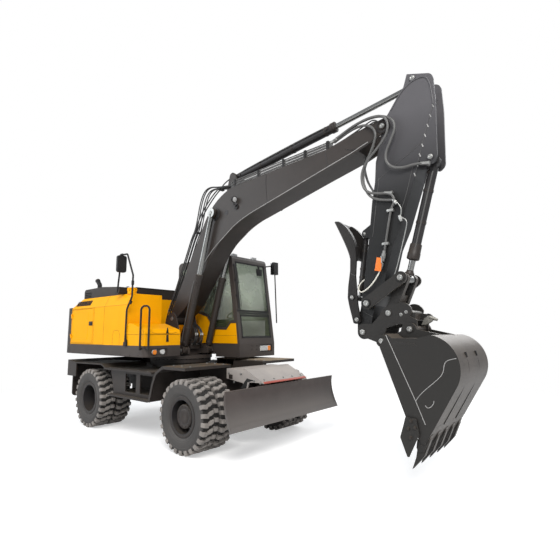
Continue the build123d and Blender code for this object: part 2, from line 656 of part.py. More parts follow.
def body_run(y_left, y_right, x0, x1):
    return Pos(x0, 0, 0) * extrude(body_face(y_left, y_right), amount=x1 - x0, dir=(1, 0, 0))


DOOR_X0, DOOR_X1 = -1925, -1035
DOOR_Z0, DOOR_Z1 = 1530, 2185
HOOD_HALF = BODY_HALF - 280
HOOD_HINGE = (-2070, TAIL_TOP + 14)


def make_engine_house():
    """The hollow engine house, its side doors and its hood."""
    house = body_run(BODY_HALF, -BODY_HALF, HOUSE_REAR_X, HOUSE_FRONT_X)
    house -= block(HOUSE_REAR_X + SHEET, HOUSE_FRONT_X - SHEET, -BODY_HALF + SHEET, BODY_HALF - SHEET,
                   BODY_Z0 - 10, BEVEL_Z - SHEET)
    house -= block(HOUSE_REAR_X - 10, HOUSE_FRONT_X - 60, -HOOD_HALF + 60, HOOD_HALF - 60,
                   BEVEL_Z - SHEET - 10, 3000)
    chamfer_cut = outline((HOUSE_REAR_X - 10, BEVEL_Z + 20), (HOUSE_REAR_X - 10, 2500), (-1690, 2500),
                          (-1690, BODY_TOP))
    house -= slab(chamfer_cut, -BODY_HALF - SHEET, BODY_HALF + SHEET)
    for z in LOUVRES_Z:
        surface_y = BODY_HALF - BEVEL_IN * (z - BEVEL_Z) / (BODY_TOP - BEVEL_Z)
        house -= both(block(*LOUVRE_X, surface_y - 14, surface_y + 40, z, z + 10))
    for side in (1, -1):
        house -= block(DOOR_X0 - DOOR_GAP, DOOR_X1 + DOOR_GAP, side * (BODY_HALF - 3 * SHEET),
                       side * (BODY_HALF + SHEET), DOOR_Z0 - DOOR_GAP,
                       DOOR_Z1 + DOOR_GAP)
        word = "left" if side > 0 else "right"
        door = block(DOOR_X0, DOOR_X1, side * (BODY_HALF - SHEET), side * BODY_HALF, DOOR_Z0, DOOR_Z1)
        hinge_x, hinge_y = DOOR_X0 - DOOR_GAP / 2, side * (BODY_HALF + 11)
        for z in (DOOR_Z0 + 90, DOOR_Z1 - 170):
            door += bar((hinge_x, hinge_y, z), (hinge_x, hinge_y, z + 50), 9)
            door += block(hinge_x, hinge_x + 40, side * BODY_HALF, side * (BODY_HALF + 18), z, z + 50)
            house += bar((hinge_x, hinge_y, z + 50.4), (hinge_x, hinge_y, z + 85), 9)
            house += block(hinge_x - 20, hinge_x, side * (BODY_HALF - 10), side * (BODY_HALF + 18),
                           z + 50.4, z + 85)
        keep(f"engine_door_{word}", door)
    keep("engine_house", house)
    keep("engine_block", block(-1750, -900, -480, 430, DECK_Z1, 2150))
    hood_side = outline((-2060, TAIL_TOP + 10), (-2060, 2540), ((-2040, 2605), (-1980, 2625)),
                        (-1300, 2635),
                        (-640, 2590), (-640, BODY_TOP + 4), (-1685, BODY_TOP + 4), (-1957, BEVEL_Z + 36))
    inner_side = outline((-2040, TAIL_TOP), (-2040, 2530), (-1975, 2605), (-1300, 2615), (-660, 2570),
                         (-660, BODY_TOP - 100), (-1685, BODY_TOP - 100), (-1957, BEVEL_Z - 50))
    hood = slab(hood_side, -HOOD_HALF, HOOD_HALF) - slab(inner_side, -HOOD_HALF + 20, HOOD_HALF - 20)
    for z in HOOD_SLOTS_Z:
        slot_front = min(HOOD_SLOT_X[1], -2015 + 1.62 * (z - BEVEL_Z - 36))
        hood -= both(block(HOOD_SLOT_X[0], slot_front, HOOD_HALF - 40, HOOD_HALF + 10, z, z + 16))
    hinge_x, hinge_z = HOOD_HINGE
    for y in (-700, 640):
        hood += pin(HOOD_HINGE, 8, y, y + 60)
        hood += block(hinge_x, hinge_x + 14, y, y + 60, hinge_z, hinge_z + 40)
    keep("engine_hood", hood)
    pipe_y = 240 - HOOD_HALF
    pipe = tube([(-1900, pipe_y, 2627), (-1900, pipe_y, 2745), (-2010, pipe_y, 2850)], 45, 50)
    keep("exhaust_pipe", pipe)


def make_right_body():
    """The tank housing, and the hollow toolbox in front of it with its lid."""
    tank = body_run(BODY_IN_Y, -BODY_HALF, HOUSE_FRONT_X, TANK_FRONT_X)
    tank += Pos(60, 140 - BODY_HALF, BODY_TOP + 40) * Cylinder(75, 90)
    x0, x1 = TANK_FRONT_X + 4, TOOLBOX_FRONT_X - 8
    y0, y1 = -BODY_HALF + 6, BODY_IN_Y
    split = TOOLBOX_SPLIT_Z
    box = block(TANK_FRONT_X, x1, y0, y1, BODY_Z0, split)
    box -= block(x0 + 30, x1 - 25, y0 + 25, y1 - 25, BODY_Z0 + 25, split + 10)
    keep("toolbox", box)
    top, wall = TOOLBOX_TOP, 25
    brow_x, brow_z = TOOLBOX_BROW
    shell = outline((x0, split + 4), (x0, top), (TOOLBOX_SLOPE_X, top), TOOLBOX_BROW,
                    ((x1 - 18, brow_z - 25), (x1, split + 12)), (x1, split + 4))
    hollow = outline((x0 + wall, split), (x0 + wall, top - wall), (TOOLBOX_SLOPE_X, top - wall),
                     (brow_x - 10, brow_z - wall), (x1 - wall, split + 10), (x1 - wall, split))
    lid = slab(shell, y0, y1) - slab(hollow, y0 + wall, y1 - wall)
    hinge_x, hinge_z, hinge_r = x0 + 12, top + 6, 9
    for y in (y0 + 120, y1 - 200):
        lid -= bar((hinge_x, y + 79, hinge_z), (hinge_x, y + 117, hinge_z), hinge_r + 5)
        lid += bar((hinge_x, y, hinge_z), (hinge_x, y + 80, hinge_z), hinge_r)
        tank += bar((hinge_x, y + 80.4, hinge_z), (hinge_x, y + 115, hinge_z), hinge_r)
        tank += block(TANK_FRONT_X - 2, hinge_x, y + 80.4, y + 115, hinge_z - 5, hinge_z + hinge_r)
    keep("fuel_tank", tank)
    keep("toolbox_lid", lid)


def make_cab():
    """The hollow cab, its door, its glass, and the seat and console inside."""
    foot, head = CAB_FOOT_X, CAB_HEAD_X
    shell_side = outline((CAB_REAR_X, CAB_Z0), (CAB_REAR_X, CAB_EAVES_Z - 60),
                         ((CAB_REAR_X + 30, CAB_TOP - 25), (CAB_REAR_X + 110, CAB_TOP)),
                         (head - 110, CAB_TOP),
                         ((head - 25, CAB_TOP - 25), (head, CAB_EAVES_Z)), (foot, CAB_BAND_Z),
                         (foot, CAB_Z0))
    room_side = outline((CAB_REAR_X + CAB_WALL, CAB_FLOOR_Z), (CAB_REAR_X + CAB_WALL, CAB_TOP - CAB_WALL),
                        (head - CAB_WALL, CAB_TOP - CAB_WALL), (head - CAB_WALL, CAB_EAVES_Z),
                        (foot - CAB_WALL, CAB_BAND_Z), (foot - CAB_WALL, CAB_FLOOR_Z))
    shell = slab(shell_side, CAB_IN, CAB_OUT) - slab(room_side, CAB_IN + CAB_WALL, CAB_OUT - CAB_WALL)
    shell -= block(head - 200, foot + 50, CAB_IN + 75, CAB_OUT - 75, SILL_Z, CAB_EAVES_Z - 50)
    bar_z = 2075
    lean = (foot - head) / (CAB_EAVES_Z - CAB_BAND_Z)
    bar_x = foot - lean * (bar_z - CAB_BAND_Z)
    door_foot_x, door_head_x = (foot - lean * (z - CAB_BAND_Z) - 75 for z in (1900, WINDOW_TOP))
    shell += block(bar_x - 44, bar_x - 14, CAB_IN + 60, CAB_OUT - 60, bar_z - 25, bar_z + 25)
    shell -= block(CAB_REAR_X - 10, CAB_REAR_X + 100, CAB_IN + 90, CAB_OUT - 90, 2050, CAB_EAVES_Z - 70)
    side_window = outline((-480, 2150), (-480, WINDOW_TOP), (940, WINDOW_TOP), (1120, 1935), (1025, 1935),
                          (905, 1815),
                          (565, 1825), (375, 2070), (90, 2150))
    shell -= slab(side_window, CAB_IN - 10, CAB_IN + CAB_WALL + 5)
    left_window = outline((-480, 2000), (-480, WINDOW_TOP), (90, WINDOW_TOP), (90, 2000))
    shell -= slab(left_window, CAB_OUT - CAB_WALL - 5, CAB_OUT + 10)
    door_top, gap = WINDOW_TOP + 15, DOOR_GAP
    door_side = outline((150, 1420), (150, door_top), (door_head_x, door_top), (door_foot_x, 1900),
                        (door_foot_x, 1560), (1000, 1420))
    door_hole = outline((150 - gap, 1420 - gap), (150 - gap, door_top + gap),
                        (door_head_x + gap, door_top + gap),
                        (door_foot_x + gap, 1900), (door_foot_x + gap, 1560 - gap / 2), (1000 + gap / 2,
                                                                                         1420 - gap))
    shell -= slab(door_hole, CAB_OUT - CAB_WALL - 5, CAB_OUT + 10)
    for z in (1600, 2700):
        shell += bar((147, CAB_OUT + 12, z + 60.4), (147, CAB_OUT + 12, z + 100), 10)
        shell += block(100, 147, CAB_OUT, CAB_OUT + 20, z + 60.4, z + 100)
    shell -= block(foot - POCKET_DEPTH, foot + 10, *BAND_RECESS)
    shell -= Pos(0, 0, DECK_Z0) * Cylinder(RING_R + 50, 40)
    shell -= block(CAB_REAR_X - 10, RING_R + 60, CAB_IN - 10, DECK_HALF, DECK_Z0 - 100, DECK_Z0 + 20)
    keep("cab_shell", shell)
    door = slab(door_side, CAB_OUT - CAB_WALL, CAB_OUT)
    door_window = outline((230, 2060), (230, WINDOW_TOP - 60), (door_head_x - 65, WINDOW_TOP - 60),
                          (door_foot_x - 80, 2060))
    low_window = outline((230, 1560), (230, 1960), (door_foot_x - 75, 1960), (door_foot_x - 75, 1620),
                         (door_foot_x - 140, 1560))
    for hole in (door_window, low_window):
        door -= slab(hole, CAB_OUT - CAB_WALL - 5, CAB_OUT + 5)
        door += slab(hole, CAB_OUT - 25, CAB_OUT - 25 + GLASS_T)
    hinge_x, hinge_y = 147, CAB_OUT + 12
    for z in (1600, 2700):
        door += bar((hinge_x, hinge_y, z), (hinge_x, hinge_y, z + 60), 10)
        door += block(hinge_x, hinge_x + 45, CAB_OUT, hinge_y + 8, z, z + 60)
    keep("cab_door", door)
    glass = [
        slab(side_window, CAB_IN + 15, CAB_IN + 15 + GLASS_T),
        slab(left_window, CAB_OUT - 25, CAB_OUT - 25 + GLASS_T),
        block(CAB_REAR_X + 15, CAB_REAR_X + 15 + GLASS_T, CAB_IN + 90, CAB_OUT - 90, 2050,
              CAB_EAVES_Z - 70),
    ]
    glass_foot_x = foot - lean * (SILL_Z - CAB_BAND_Z)
    glass_head_x = foot - lean * (CAB_EAVES_Z - 50 - CAB_BAND_Z)
    pane = outline((glass_foot_x - 7, SILL_Z), (glass_head_x - 7, CAB_EAVES_Z - 50),
                   (glass_head_x - 7 + GLASS_T, CAB_EAVES_Z - 50), (glass_foot_x - 7 + GLASS_T, SILL_Z))
    glass.append(slab(pane, CAB_IN + 75, CAB_OUT - 75))
    keep("cab_glass", glass)
    panel = outline((CAB_REAR_X + 50, CAB_BAND_Z + 5), (CAB_REAR_X + 50, 2110), (80, 2110), (360, 2030),
                    (550, 1780),
                    (920, 1770), (1040, 1890), (1170, 1890), (1215, CAB_BAND_Z + 5))
    keep("cab_side_panel", slab(panel, CAB_IN - 8, CAB_IN))
    middle = (CAB_IN + CAB_OUT) / 2
    floor = CAB_FLOOR_Z
    seat = block(-260, 240, middle - 240, middle + 240, 1760, 1900)
    seat += block(-100, 150, middle - 150, middle + 150, floor, 1765)
    seat += slab(outline((-230, 1890), (-400, 2560), (-300, 2600), (-110, 1890)), middle - 230,
                 middle + 230)
    for side in (1, -1):
        y = middle + side * 330
        seat += block(-200, 330, y - 60, y + 60, 1740, 1960)
        seat += block(-150, 50, middle + side * 150, y, 1765, 1800)
    seat += bar((540, middle, floor + 12), (700, middle, 2078), 35)
    wheel = Plane(origin=(690, middle, 2080), z_dir=(-0.45, 0, 1)) * Torus(190, 14)
    seat += wheel + Plane(origin=(690, middle, 2080), z_dir=(-0.45, 0, 1)) * Box(380, 40, 14)
    seat += block(-100, 560, middle - 60, middle + 60, floor, floor + 40)
    keep("cab_seat", seat)


def make_upper_lamps():
    """Two lamps on the cab's roof, two in the pocket of its band and two round ones in the skirt's pocket."""
    depth, width, height = ROOF_LAMP
    roof_x = CAB_HEAD_X - 115
    lamps = []
    for y in ROOF_LAMPS_Y:
        lamp = block(roof_x - depth, roof_x, y - width / 2, y + width / 2, CAB_TOP, CAB_TOP + height)
        lamps.append(fillet(lamp.edges().group_by(Axis.X)[-1], 12))
    back = CAB_FOOT_X - POCKET_DEPTH
    for y0, y1 in BAND_LAMPS:
        lamp = block(back, back + POCKET_DEPTH - 4, y0, y1, BAND_RECESS[2] + 18, BAND_RECESS[3] - 18)
        lamps.append(fillet(lamp.edges().group_by(Axis.X)[-1], 10))
    back = TOOLBOX_FRONT_X - POCKET_DEPTH
    z = (SKIRT_RECESS[2] + SKIRT_RECESS[3]) / 2
    for y in SKIRT_LAMPS_Y:
        lamps.append(bar((back, y, z), (back + POCKET_DEPTH - 4, y, z), 42))
    keep("lamps_upper", lamps)


def make_rails():
    """The loop rail and mirror on the tank housing, the grab rail by the toolbox, and the cab's mirror."""
    y = -BODY_HALF - 16
    foot_z = BODY_Z0
    loop = tube([(170, y, foot_z + 30), (180, y, 2110), (330, y, 2320), (340, y, 2690), (130, y, 3080),
                 (-85, y, 3090),
                 (-110, y, 2780), (-160, y, 2425)], 15, 40)
    loop += block(130, 215, y - 12, -BODY_HALF, foot_z - 10, foot_z + 60)
    loop += block(-205, -115, y - 10, -BODY_HALF + BEVEL_IN + 20, BODY_TOP, BODY_TOP + 26)
    glass = Pos(-60, y, 2925) * Box(50, 170, 300)
    loop += fillet(glass.edges().filter_by(Axis.X), 40)
    near, far = GRAB_POSTS
    grab_rail = tube([(*near, GRAB_FOOT_Z), (*near, GRAB_TOP_Z), (*far, GRAB_TOP_Z), (*far, GRAB_FOOT_Z)],
                     16, 70)
    foot_z = GRAB_FOOT_Z + 25
    grab_rail += bar((near[0], 20 - BODY_HALF, foot_z), (*near, foot_z), 14)
    grab_rail += bar((TOOLBOX_FRONT_X - 50, far[1], foot_z), (*far, foot_z), 14)
    keep("handrail_right", loop)
    keep("grab_rail", grab_rail - PARTS["deck"])
    x, out = CAB_HEAD_X + 60, CAB_OUT
    bracket = tube([(CAB_HEAD_X - 20, out, 3075), (CAB_HEAD_X - 20, out + 40, 3075),
                    (x + 150, out + 40, 3075),
                    (x + 200, out + 40, 1900)], 12, 18)
    bracket += Pos(x + 165, out + 40, 3010) * Box(60, 130, 250)
    keep("mirror_left", bracket)


# ---------------------------------------------------------------- digging gear
def make_boom():
    face = outline((-45, 2075), (925, 3725), ((1225, 4040), (1660, 4222)), (2780, 4277), (3610, 4315),
                   (4020, 4405),
                   (ARM_PIN[0], ARM_PIN[1] + TIP_BOSS_R), ((ARM_PIN[0] + TIP_BOSS_R, ARM_PIN[1]),
                   (ARM_PIN[0], ARM_PIN[1] - TIP_BOSS_R)), (4030, 4125), (3320, 3960), (2120, 3665),
                   ((1560, 3450), (1100, 3040)), (460, 2225), (95, 1950))
    boom = slab(face, BOOM_Y - BOOM_HALF, BOOM_Y + BOOM_HALF)
    boom += pin(BOOM_FOOT, FOOT_BOSS_R, BOOM_Y - BOOM_HALF, BOOM_Y + BOOM_HALF)
    fork_in = BOOM_HALF - FORK_T
    boom -= block(FORK_X, 4700, BOOM_Y - fork_in, BOOM_Y + fork_in, 3900, 4700)
    boom -= pin(BOOM_FOOT, PIN_R + 10 + PIN_GAP, BOOM_Y - 300, BOOM_Y + 300)
    boom += pin(ARM_PIN, PIN_R, BOOM_Y - BOOM_HALF - 14, BOOM_Y + BOOM_HALF + 14)
    boom += pins(BOOM_CYL_EYE, LUG_R + 5, BOOM_HALF - 2, BOOM_CYL_OFF - BOOM_ROD_R - 7, BOOM_Y)
    base = ARM_CYL_BASE
    ear = outline((base[0] - 170, 4100), (base[0] - 60, base[1] + 40),
                  ((base[0], base[1] + 75), (base[0] + 65, base[1] + 30)),
                  (base[0] + 240, 4150), (base[0] + 100, 4100))
    inner = ARM_CYL_R + SIDE_GAP
    boom += slabs(ear, inner, inner + EAR_T, BOOM_Y)
    boom += pin(base, PIN_R - 5, BOOM_Y - inner - EAR_T, BOOM_Y + inner + EAR_T)
    keep("boom", boom)


def make_boom_cylinders():
    barrels, rods = [], []
    for side in (1, -1):
        y = BOOM_Y + side * BOOM_CYL_OFF
        barrel = cylinder_barrel(BOOM_CYL_BASE, BOOM_CYL_EYE, y, BOOM_CYL_R - 8, BOOM_BARREL, LUG_W,
                                 LUG_R - 5, PIN_R)
        barrels.append(bored(barrel, BOOM_CYL_BASE, BOOM_CYL_EYE, y, BOOM_ROD_R, 150, BOOM_BARREL))
        rods.append(cylinder_rod(BOOM_CYL_BASE, BOOM_CYL_EYE, y, BOOM_ROD_R, 900, LUG_W, LUG_R))
    keep("boom_cylinder_barrels", barrels)
    keep("boom_cylinder_rods", rods)


def make_arm():
    """Two side plates on a box core. The plates run on past the core to hold the two cylinder pins."""
    tip_r = 90
    plate_face = outline((4790, 4965), (5060, 4862), ((5098, 4825), (5112, 4760)), (5125, 4480),
                         (5108, 3800),
                         ((5080, 3735), (5030, 3705)), (4880, 3780), (4825, 3580), (4625, 3020),
                         (4500, 2760),
                         (4410, 2440), (4330, 2165), (4232, 2040), (4188, 1850),
                         (ARM_END[0] + tip_r, ARM_END[1]),
                         ((ARM_END[0], ARM_END[1] - tip_r), (ARM_END[0] - tip_r, ARM_END[1])), (3985, 1850),
                         (4035, 2010), (4090, 2290), (4170, 2780), (4250, 3400), (4300, 3650), (4322, 3920),
                         (4400, 4180),
                         (4495, 4500), (4740, 4810))
    core_face = outline((4660, 4640), (4985, 4760), (5062, 4640), (4880, 3790), (4825, 3580), (4625, 3020),
                        (4500, 2760), (4410, 2440), (4330, 2165), (4232, 2040), (4188, 1850), (4150, 1760),
                        (3990, 1760), (3985, 1850), (4035, 2010), (4090, 2290), (4170, 2780), (4250, 3400),
                        (4300, 3650), (4322, 3920), (4400, 4180), (4495, 4460))
    arm = slabs(plate_face, ARM_HALF - EAR_T, ARM_HALF, BOOM_Y)
    arm += slab(core_face, BOOM_Y - ARM_HALF + EAR_T - 1, BOOM_Y + ARM_HALF - EAR_T + 1)
    arm += pin(ARM_PIN, 105, BOOM_Y - ARM_HALF, BOOM_Y + ARM_HALF)
    arm += pin(ARM_END, 88, BOOM_Y - ARM_HALF, BOOM_Y + ARM_HALF)
    arm += pin(GUIDE_PIN, 55, BOOM_Y - GUIDE_IN - GUIDE_T - 14, BOOM_Y + GUIDE_IN + GUIDE_T + 14)
    arm -= pin(ARM_PIN, PIN_R + PIN_GAP, BOOM_Y - 300, BOOM_Y + 300)
    arm -= pin(ARM_END, PIN_R + PIN_GAP, BOOM_Y - 300, BOOM_Y + 300)
    arm += pins(BUCKET_CYL_BASE, PIN_R - 5, 0, ARM_HALF + 12, BOOM_Y)
    arm += pins(ARM_CYL_EYE, PIN_R - 5, ARM_HALF - 5, ARM_HALF + 12, BOOM_Y)
    thumb_lug = outline((3990, 1800), (3940, 1850), (3950, 1915), (4035, 1960))
    arm += slab(thumb_lug, BOOM_Y - 120, BOOM_Y + 120)
    arm += pin(THUMB_PIN, 38, BOOM_Y - THUMB_IN - THUMB_T - 12, BOOM_Y + THUMB_IN + THUMB_T + 12)
    cyl_lug = outline((4215, 2920), (4050, 2975), ((4030, 3020), (4050, 3065)), (4232, 3170))
    lug_in = 35 + SIDE_GAP
    arm += slabs(cyl_lug, lug_in, lug_in + 22, BOOM_Y)
    arm += pin(THUMB_CYL_BASE, 22, BOOM_Y - lug_in - 22, BOOM_Y + lug_in + 22)
    keep("arm", arm)


def make_arm_cylinders():
    barrel = cylinder_barrel(ARM_CYL_BASE, ARM_CYL_EYE, BOOM_Y, ARM_CYL_R - 8, ARM_BARREL,
                             2 * ARM_CYL_R - 20, LUG_R - 15,
                             PIN_R - 5)
    keep("arm_cylinder_barrel", bored(barrel, ARM_CYL_BASE, ARM_CYL_EYE, BOOM_Y, ARM_ROD_R, 150,
                                      ARM_BARREL))
    keep("arm_cylinder_rod", cylinder_rod(ARM_CYL_BASE, ARM_CYL_EYE, BOOM_Y, ARM_ROD_R, 1320, LUG_W,
                                          LUG_R - 20))
    barrel = cylinder_barrel(BUCKET_CYL_BASE, LINK_PIN, BOOM_Y, BUCKET_CYL_R - 4, BUCKET_BARREL, LUG_W,
                             LUG_R - 20,
                             PIN_R - 5)
    keep("bucket_cylinder_barrel", bored(barrel, BUCKET_CYL_BASE, LINK_PIN, BOOM_Y, BUCKET_ROD_R, 150,
                                         BUCKET_BARREL))
    keep("bucket_cylinder_rod", cylinder_rod(BUCKET_CYL_BASE, LINK_PIN, BOOM_Y, BUCKET_ROD_R, 310,
                                             LUG_W * 2, 55))
    barrel = cylinder_barrel(THUMB_CYL_BASE, THUMB_ROD_PIN, BOOM_Y, THUMB_CYL_R - 6, THUMB_BARREL, LUG_W,
                             40, 22)
    keep("thumb_cylinder_barrel", bored(barrel, THUMB_CYL_BASE, THUMB_ROD_PIN, BOOM_Y, 25, 80,
                                        THUMB_BARREL))
    keep("thumb_cylinder_rod", cylinder_rod(THUMB_CYL_BASE, THUMB_ROD_PIN, BOOM_Y, 25, 120, LUG_W, 40))


def make_bucket_linkage():
    guides = [strap(GUIDE_PIN, LINK_PIN, 150, BOOM_Y + side * GUIDE_IN,
                    BOOM_Y + side * (GUIDE_IN + GUIDE_T))
              for side in (1, -1)]
    guides = [guide - pin(GUIDE_PIN, 55 + PIN_GAP, -600, 600) for guide in guides]
    guides = [guide + pin(LINK_PIN, 50, BOOM_Y + side * (GUIDE_IN + GUIDE_T - 2),
                          BOOM_Y + side * (GUIDE_IN + GUIDE_T + 14))
              for guide, side in zip(guides, (1, -1))]
    keep("guide_links", guides)
    link = None
    for side in (1, -1):
        rail = strap(COUPLER_PIN, LINK_PIN, 130, BOOM_Y + side * H_LINK_IN, BOOM_Y + side * H_LINK_OUT)
        link = rail if link is None else link + rail
    web = outline(along(COUPLER_PIN, LINK_PIN, 80, 40), along(COUPLER_PIN, LINK_PIN, 80, -40),
                  along(COUPLER_PIN, LINK_PIN, 260, -40), along(COUPLER_PIN, LINK_PIN, 260, 40))
    link += slab(web, BOOM_Y - H_LINK_IN - 5, BOOM_Y + H_LINK_IN + 5)
    link -= pin(COUPLER_PIN, PIN_R + PIN_GAP, -600, 600)
    keep("bucket_link", link)


def make_coupler():
    """Quick coupler: two side plates that hold the four pins, a bridge and a lifting eye."""
    face = outline((4008, 1713), ((4025, 1790), (4079, 1815)), (4208, 1813), (4328, 1930),
                   ((4400, 2015), (4556, 2050)), ((4680, 2035), (4724, 1966)), (4700, 1891), (4780, 1850),
                   (4775, 1735), ((4715, 1675), (4655, 1720)), (4600, 1800), (4571, 1807), (4392, 1757),
                   (4372, 1690), (4420, 1600), ((4350, 1535), (4285, 1575)), (4141, 1626), (4038, 1653))
    coupler = slabs(face, COUPLER_IN, COUPLER_IN + COUPLER_T, BOOM_Y)
    bridge = outline((4560, 1850), (4560, 1940), (4760, 1930), (4750, 1840))
    coupler += slab(bridge, BOOM_Y - COUPLER_IN - 5, BOOM_Y + COUPLER_IN + 5)
    for at in (ARM_END, COUPLER_PIN):
        coupler += pin(at, PIN_R, BOOM_Y - COUPLER_IN - COUPLER_T - 6, BOOM_Y + COUPLER_IN + COUPLER_T + 6)
    for at in (BUCKET_PIN_A, BUCKET_PIN_B):
        reach = BUCKET_EAR_IN + BUCKET_EAR_T + 14
        coupler += pin(at, 40, BOOM_Y - reach, BOOM_Y + reach)
    eye = outline((4740, 1860), (4740, 1925), (4830, 1920), ((4895, 1880), (4830, 1840)))
    coupler += slab(eye, BOOM_Y - 18, BOOM_Y + 18)
    coupler -= pin((4838, 1880), 18, -400, 400)
    keep("quick_coupler", coupler)


def make_bucket():
    """A shell of two side plates and a curved back, with ears, side cutters and teeth."""
    side_face = outline(*BUCKET_MOUTH, *BUCKET_BACK, *BUCKET_LIP)
    room = outline(*ROOM_MOUTH, *ROOM_BACK, ROOM_FOOT)
    bucket = slab(side_face, BOOM_Y - BUCKET_HALF, BOOM_Y + BUCKET_HALF)
    bucket -= slab(room, BOOM_Y - BUCKET_HALF + BUCKET_WALL, BOOM_Y + BUCKET_HALF - BUCKET_WALL)
    ear = outline((4290, 1570), ((4340, 1650), (4420, 1630)), (4600, 1720), ((4700, 1815), (4790, 1740)),
                  (5060, 1678),
                  (5060, 1640), (4620, 1625), (4500, 1530), (4400, 1520))
    for side in (1, -1):
        inner, outer = BOOM_Y + side * BUCKET_EAR_IN, BOOM_Y + side * (BUCKET_EAR_IN + BUCKET_EAR_T)
        plate = slab(ear, inner, outer)
        for at in (BUCKET_PIN_A, BUCKET_PIN_B):
            plate += pin(at, 75, inner, outer)
            plate -= pin(at, 40 + PIN_GAP, -800, 800)
        bucket += plate
        cutter = outline((4745, 800), (4690, 590), (4765, 405), (4880, 640), (4850, 790))
        y = BOOM_Y + side * (BUCKET_HALF - 2)
        bucket += slab(cutter, y, y + side * 22)
    lip = outline((4935, 545), (5045, 722), (5015, 750), (4890, 560))
    bucket += slab(lip, BOOM_Y - BUCKET_HALF, BOOM_Y + BUCKET_HALF)
    keep("bucket", bucket)
    teeth = []
    inset = 62
    spacing = 2 * (BUCKET_HALF - inset) / (TEETH - 1)
    for i in range(TEETH):
        y = BOOM_Y - BUCKET_HALF + inset + i * spacing
        tooth = slab(outline((4868, 600), (4828, 400), TOOTH_TIP, (4915, 420), (4990, 600), (4950, 640)),
                     y - 32, y + 32)
        teeth.append(tooth - bucket)
    keep("bucket_teeth", teeth)


def make_thumb():
    """A curved grab of two side plates with a broad tip."""
    pivot, rod_pin = THUMB_PIN, THUMB_ROD_PIN
    lever = outline((3945, 1830), ((3985, 1815), (4050, 1850)), (4012, 2060), (4002, 2240), (3992, 2440),
                    (4010, 2640),
                    (3925, 2690), (3918, 2520), (3882, 2310), (3870, 2160), (3890, 2050))
    thumb = slabs(lever, THUMB_IN, THUMB_IN + THUMB_T, BOOM_Y)
    tip = outline((3925, 2670), (3885, 2820), (3700, 3225), (3760, 3215), ((3900, 3080), (4005, 2830)),
                  (4008, 2640))
    thumb += slabs(tip, THUMB_IN - 30, THUMB_IN + THUMB_T, BOOM_Y)
    web = outline((3915, 2680), (3878, 2820), (3700, 3225), (3735, 3220), (3905, 2830), (3950, 2700))
    thumb += slab(web, BOOM_Y - THUMB_IN, BOOM_Y + THUMB_IN)
    thumb -= pin(pivot, 38 + PIN_GAP, -600, 600)
    for side in (1, -1):
        boss = pin(rod_pin, 36, BOOM_Y + side * (35 + SIDE_GAP), BOOM_Y + side * (THUMB_IN + THUMB_T + 12))
        thumb += boss
    keep("thumb", thumb)


def main():
    make_wheels()
    make_axles()
    make_frame()
    make_front_fenders()
    make_side_steps()
    make_rear_guard()
    make_front_guard()
    make_blade()
    make_blade_cylinders()
    make_deck()
    make_counterweight()
    make_engine_house()
    make_right_body()
    make_cab()
    make_upper_lamps()
    make_rails()
    make_boom()
    make_boom_cylinders()
    make_arm()
    make_arm_cylinders()
    make_bucket_linkage()
    make_coupler()
    make_bucket()
    make_thumb()
    os.makedirs("parts", exist_ok=True)
    for name, shape in PARTS.items():
        export_step(shape.moved(ORIGIN_SHIFT), f"parts/{name}.step")


main()
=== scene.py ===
"""A wheeled excavator: finishes, fittings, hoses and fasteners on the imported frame."""
import json
from math import cos, pi, radians, sin, sqrt

import bmesh
import bpy
from mathutils import Euler, Matrix, Vector


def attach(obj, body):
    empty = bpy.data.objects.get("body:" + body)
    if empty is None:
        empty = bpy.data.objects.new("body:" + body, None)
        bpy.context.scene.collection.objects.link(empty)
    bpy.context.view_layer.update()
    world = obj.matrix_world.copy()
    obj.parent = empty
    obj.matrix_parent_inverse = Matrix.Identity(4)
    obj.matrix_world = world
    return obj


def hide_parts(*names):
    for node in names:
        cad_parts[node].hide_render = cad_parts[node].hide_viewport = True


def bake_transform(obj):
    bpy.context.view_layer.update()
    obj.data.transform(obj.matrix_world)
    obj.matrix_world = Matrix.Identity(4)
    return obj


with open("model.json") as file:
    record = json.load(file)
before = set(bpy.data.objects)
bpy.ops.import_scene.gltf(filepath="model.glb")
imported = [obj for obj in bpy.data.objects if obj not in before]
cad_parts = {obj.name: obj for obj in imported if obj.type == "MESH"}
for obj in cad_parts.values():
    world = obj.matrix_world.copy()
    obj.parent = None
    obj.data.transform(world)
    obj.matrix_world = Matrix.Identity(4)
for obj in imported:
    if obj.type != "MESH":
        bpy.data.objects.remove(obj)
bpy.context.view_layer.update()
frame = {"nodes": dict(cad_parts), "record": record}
NODES = frame["nodes"]

# ---------------------------------------------------------------- places
# Points and lengths are in millimetres from the slewing axis and the ground, X forward and Y to the left.
SHIFT = -(-2.650 + 5.335) / 2      # metres from the frame's origin along X to the slewing axis
FRONT_AXLE_X, REAR_AXLE_X, AXLE_Z = 1700, -1100, 525
TWIN_MID, TWIN_PITCH = 963.5, 325
COVER_TOP, COVER_FOOT = (2250, 1175), (2620, 992)
COVER_SLOPE = (COVER_TOP[1] - COVER_FOOT[1]) / (COVER_FOOT[0] - COVER_TOP[0])
BODY_HALF, BODY_TOP = 1270, 2200
BODY_LEAN = 100 / 200              # the hood's flanks lean in above the top of the body's sides
SEAT_Y = 815
GEAR_Y = -40                       # the boom, arm and bucket lie about this plane
BOOM_FACES = (-240.8, 160.8)
BOOM_FOOT, BOOM_LIFT_BASE, BOOM_LIFT_EYE = (50, 1980), (490, 1400), (1210, 3820)
ARM_PIN, ARM_LIFT_BASE, ARM_LIFT_EYE = (4450, 4370), (1540, 4460), (4860, 4880)
BUCKET_LIFT_BASE, BUCKET_LIFT_EYE = (5030, 3790), (4620, 2360)
THUMB_LIFT_BASE, THUMB_LIFT_EYE = (4068, 3020), (3940, 2160)
KNEE_HOSE_YS = (-180, -140, -90, -40)
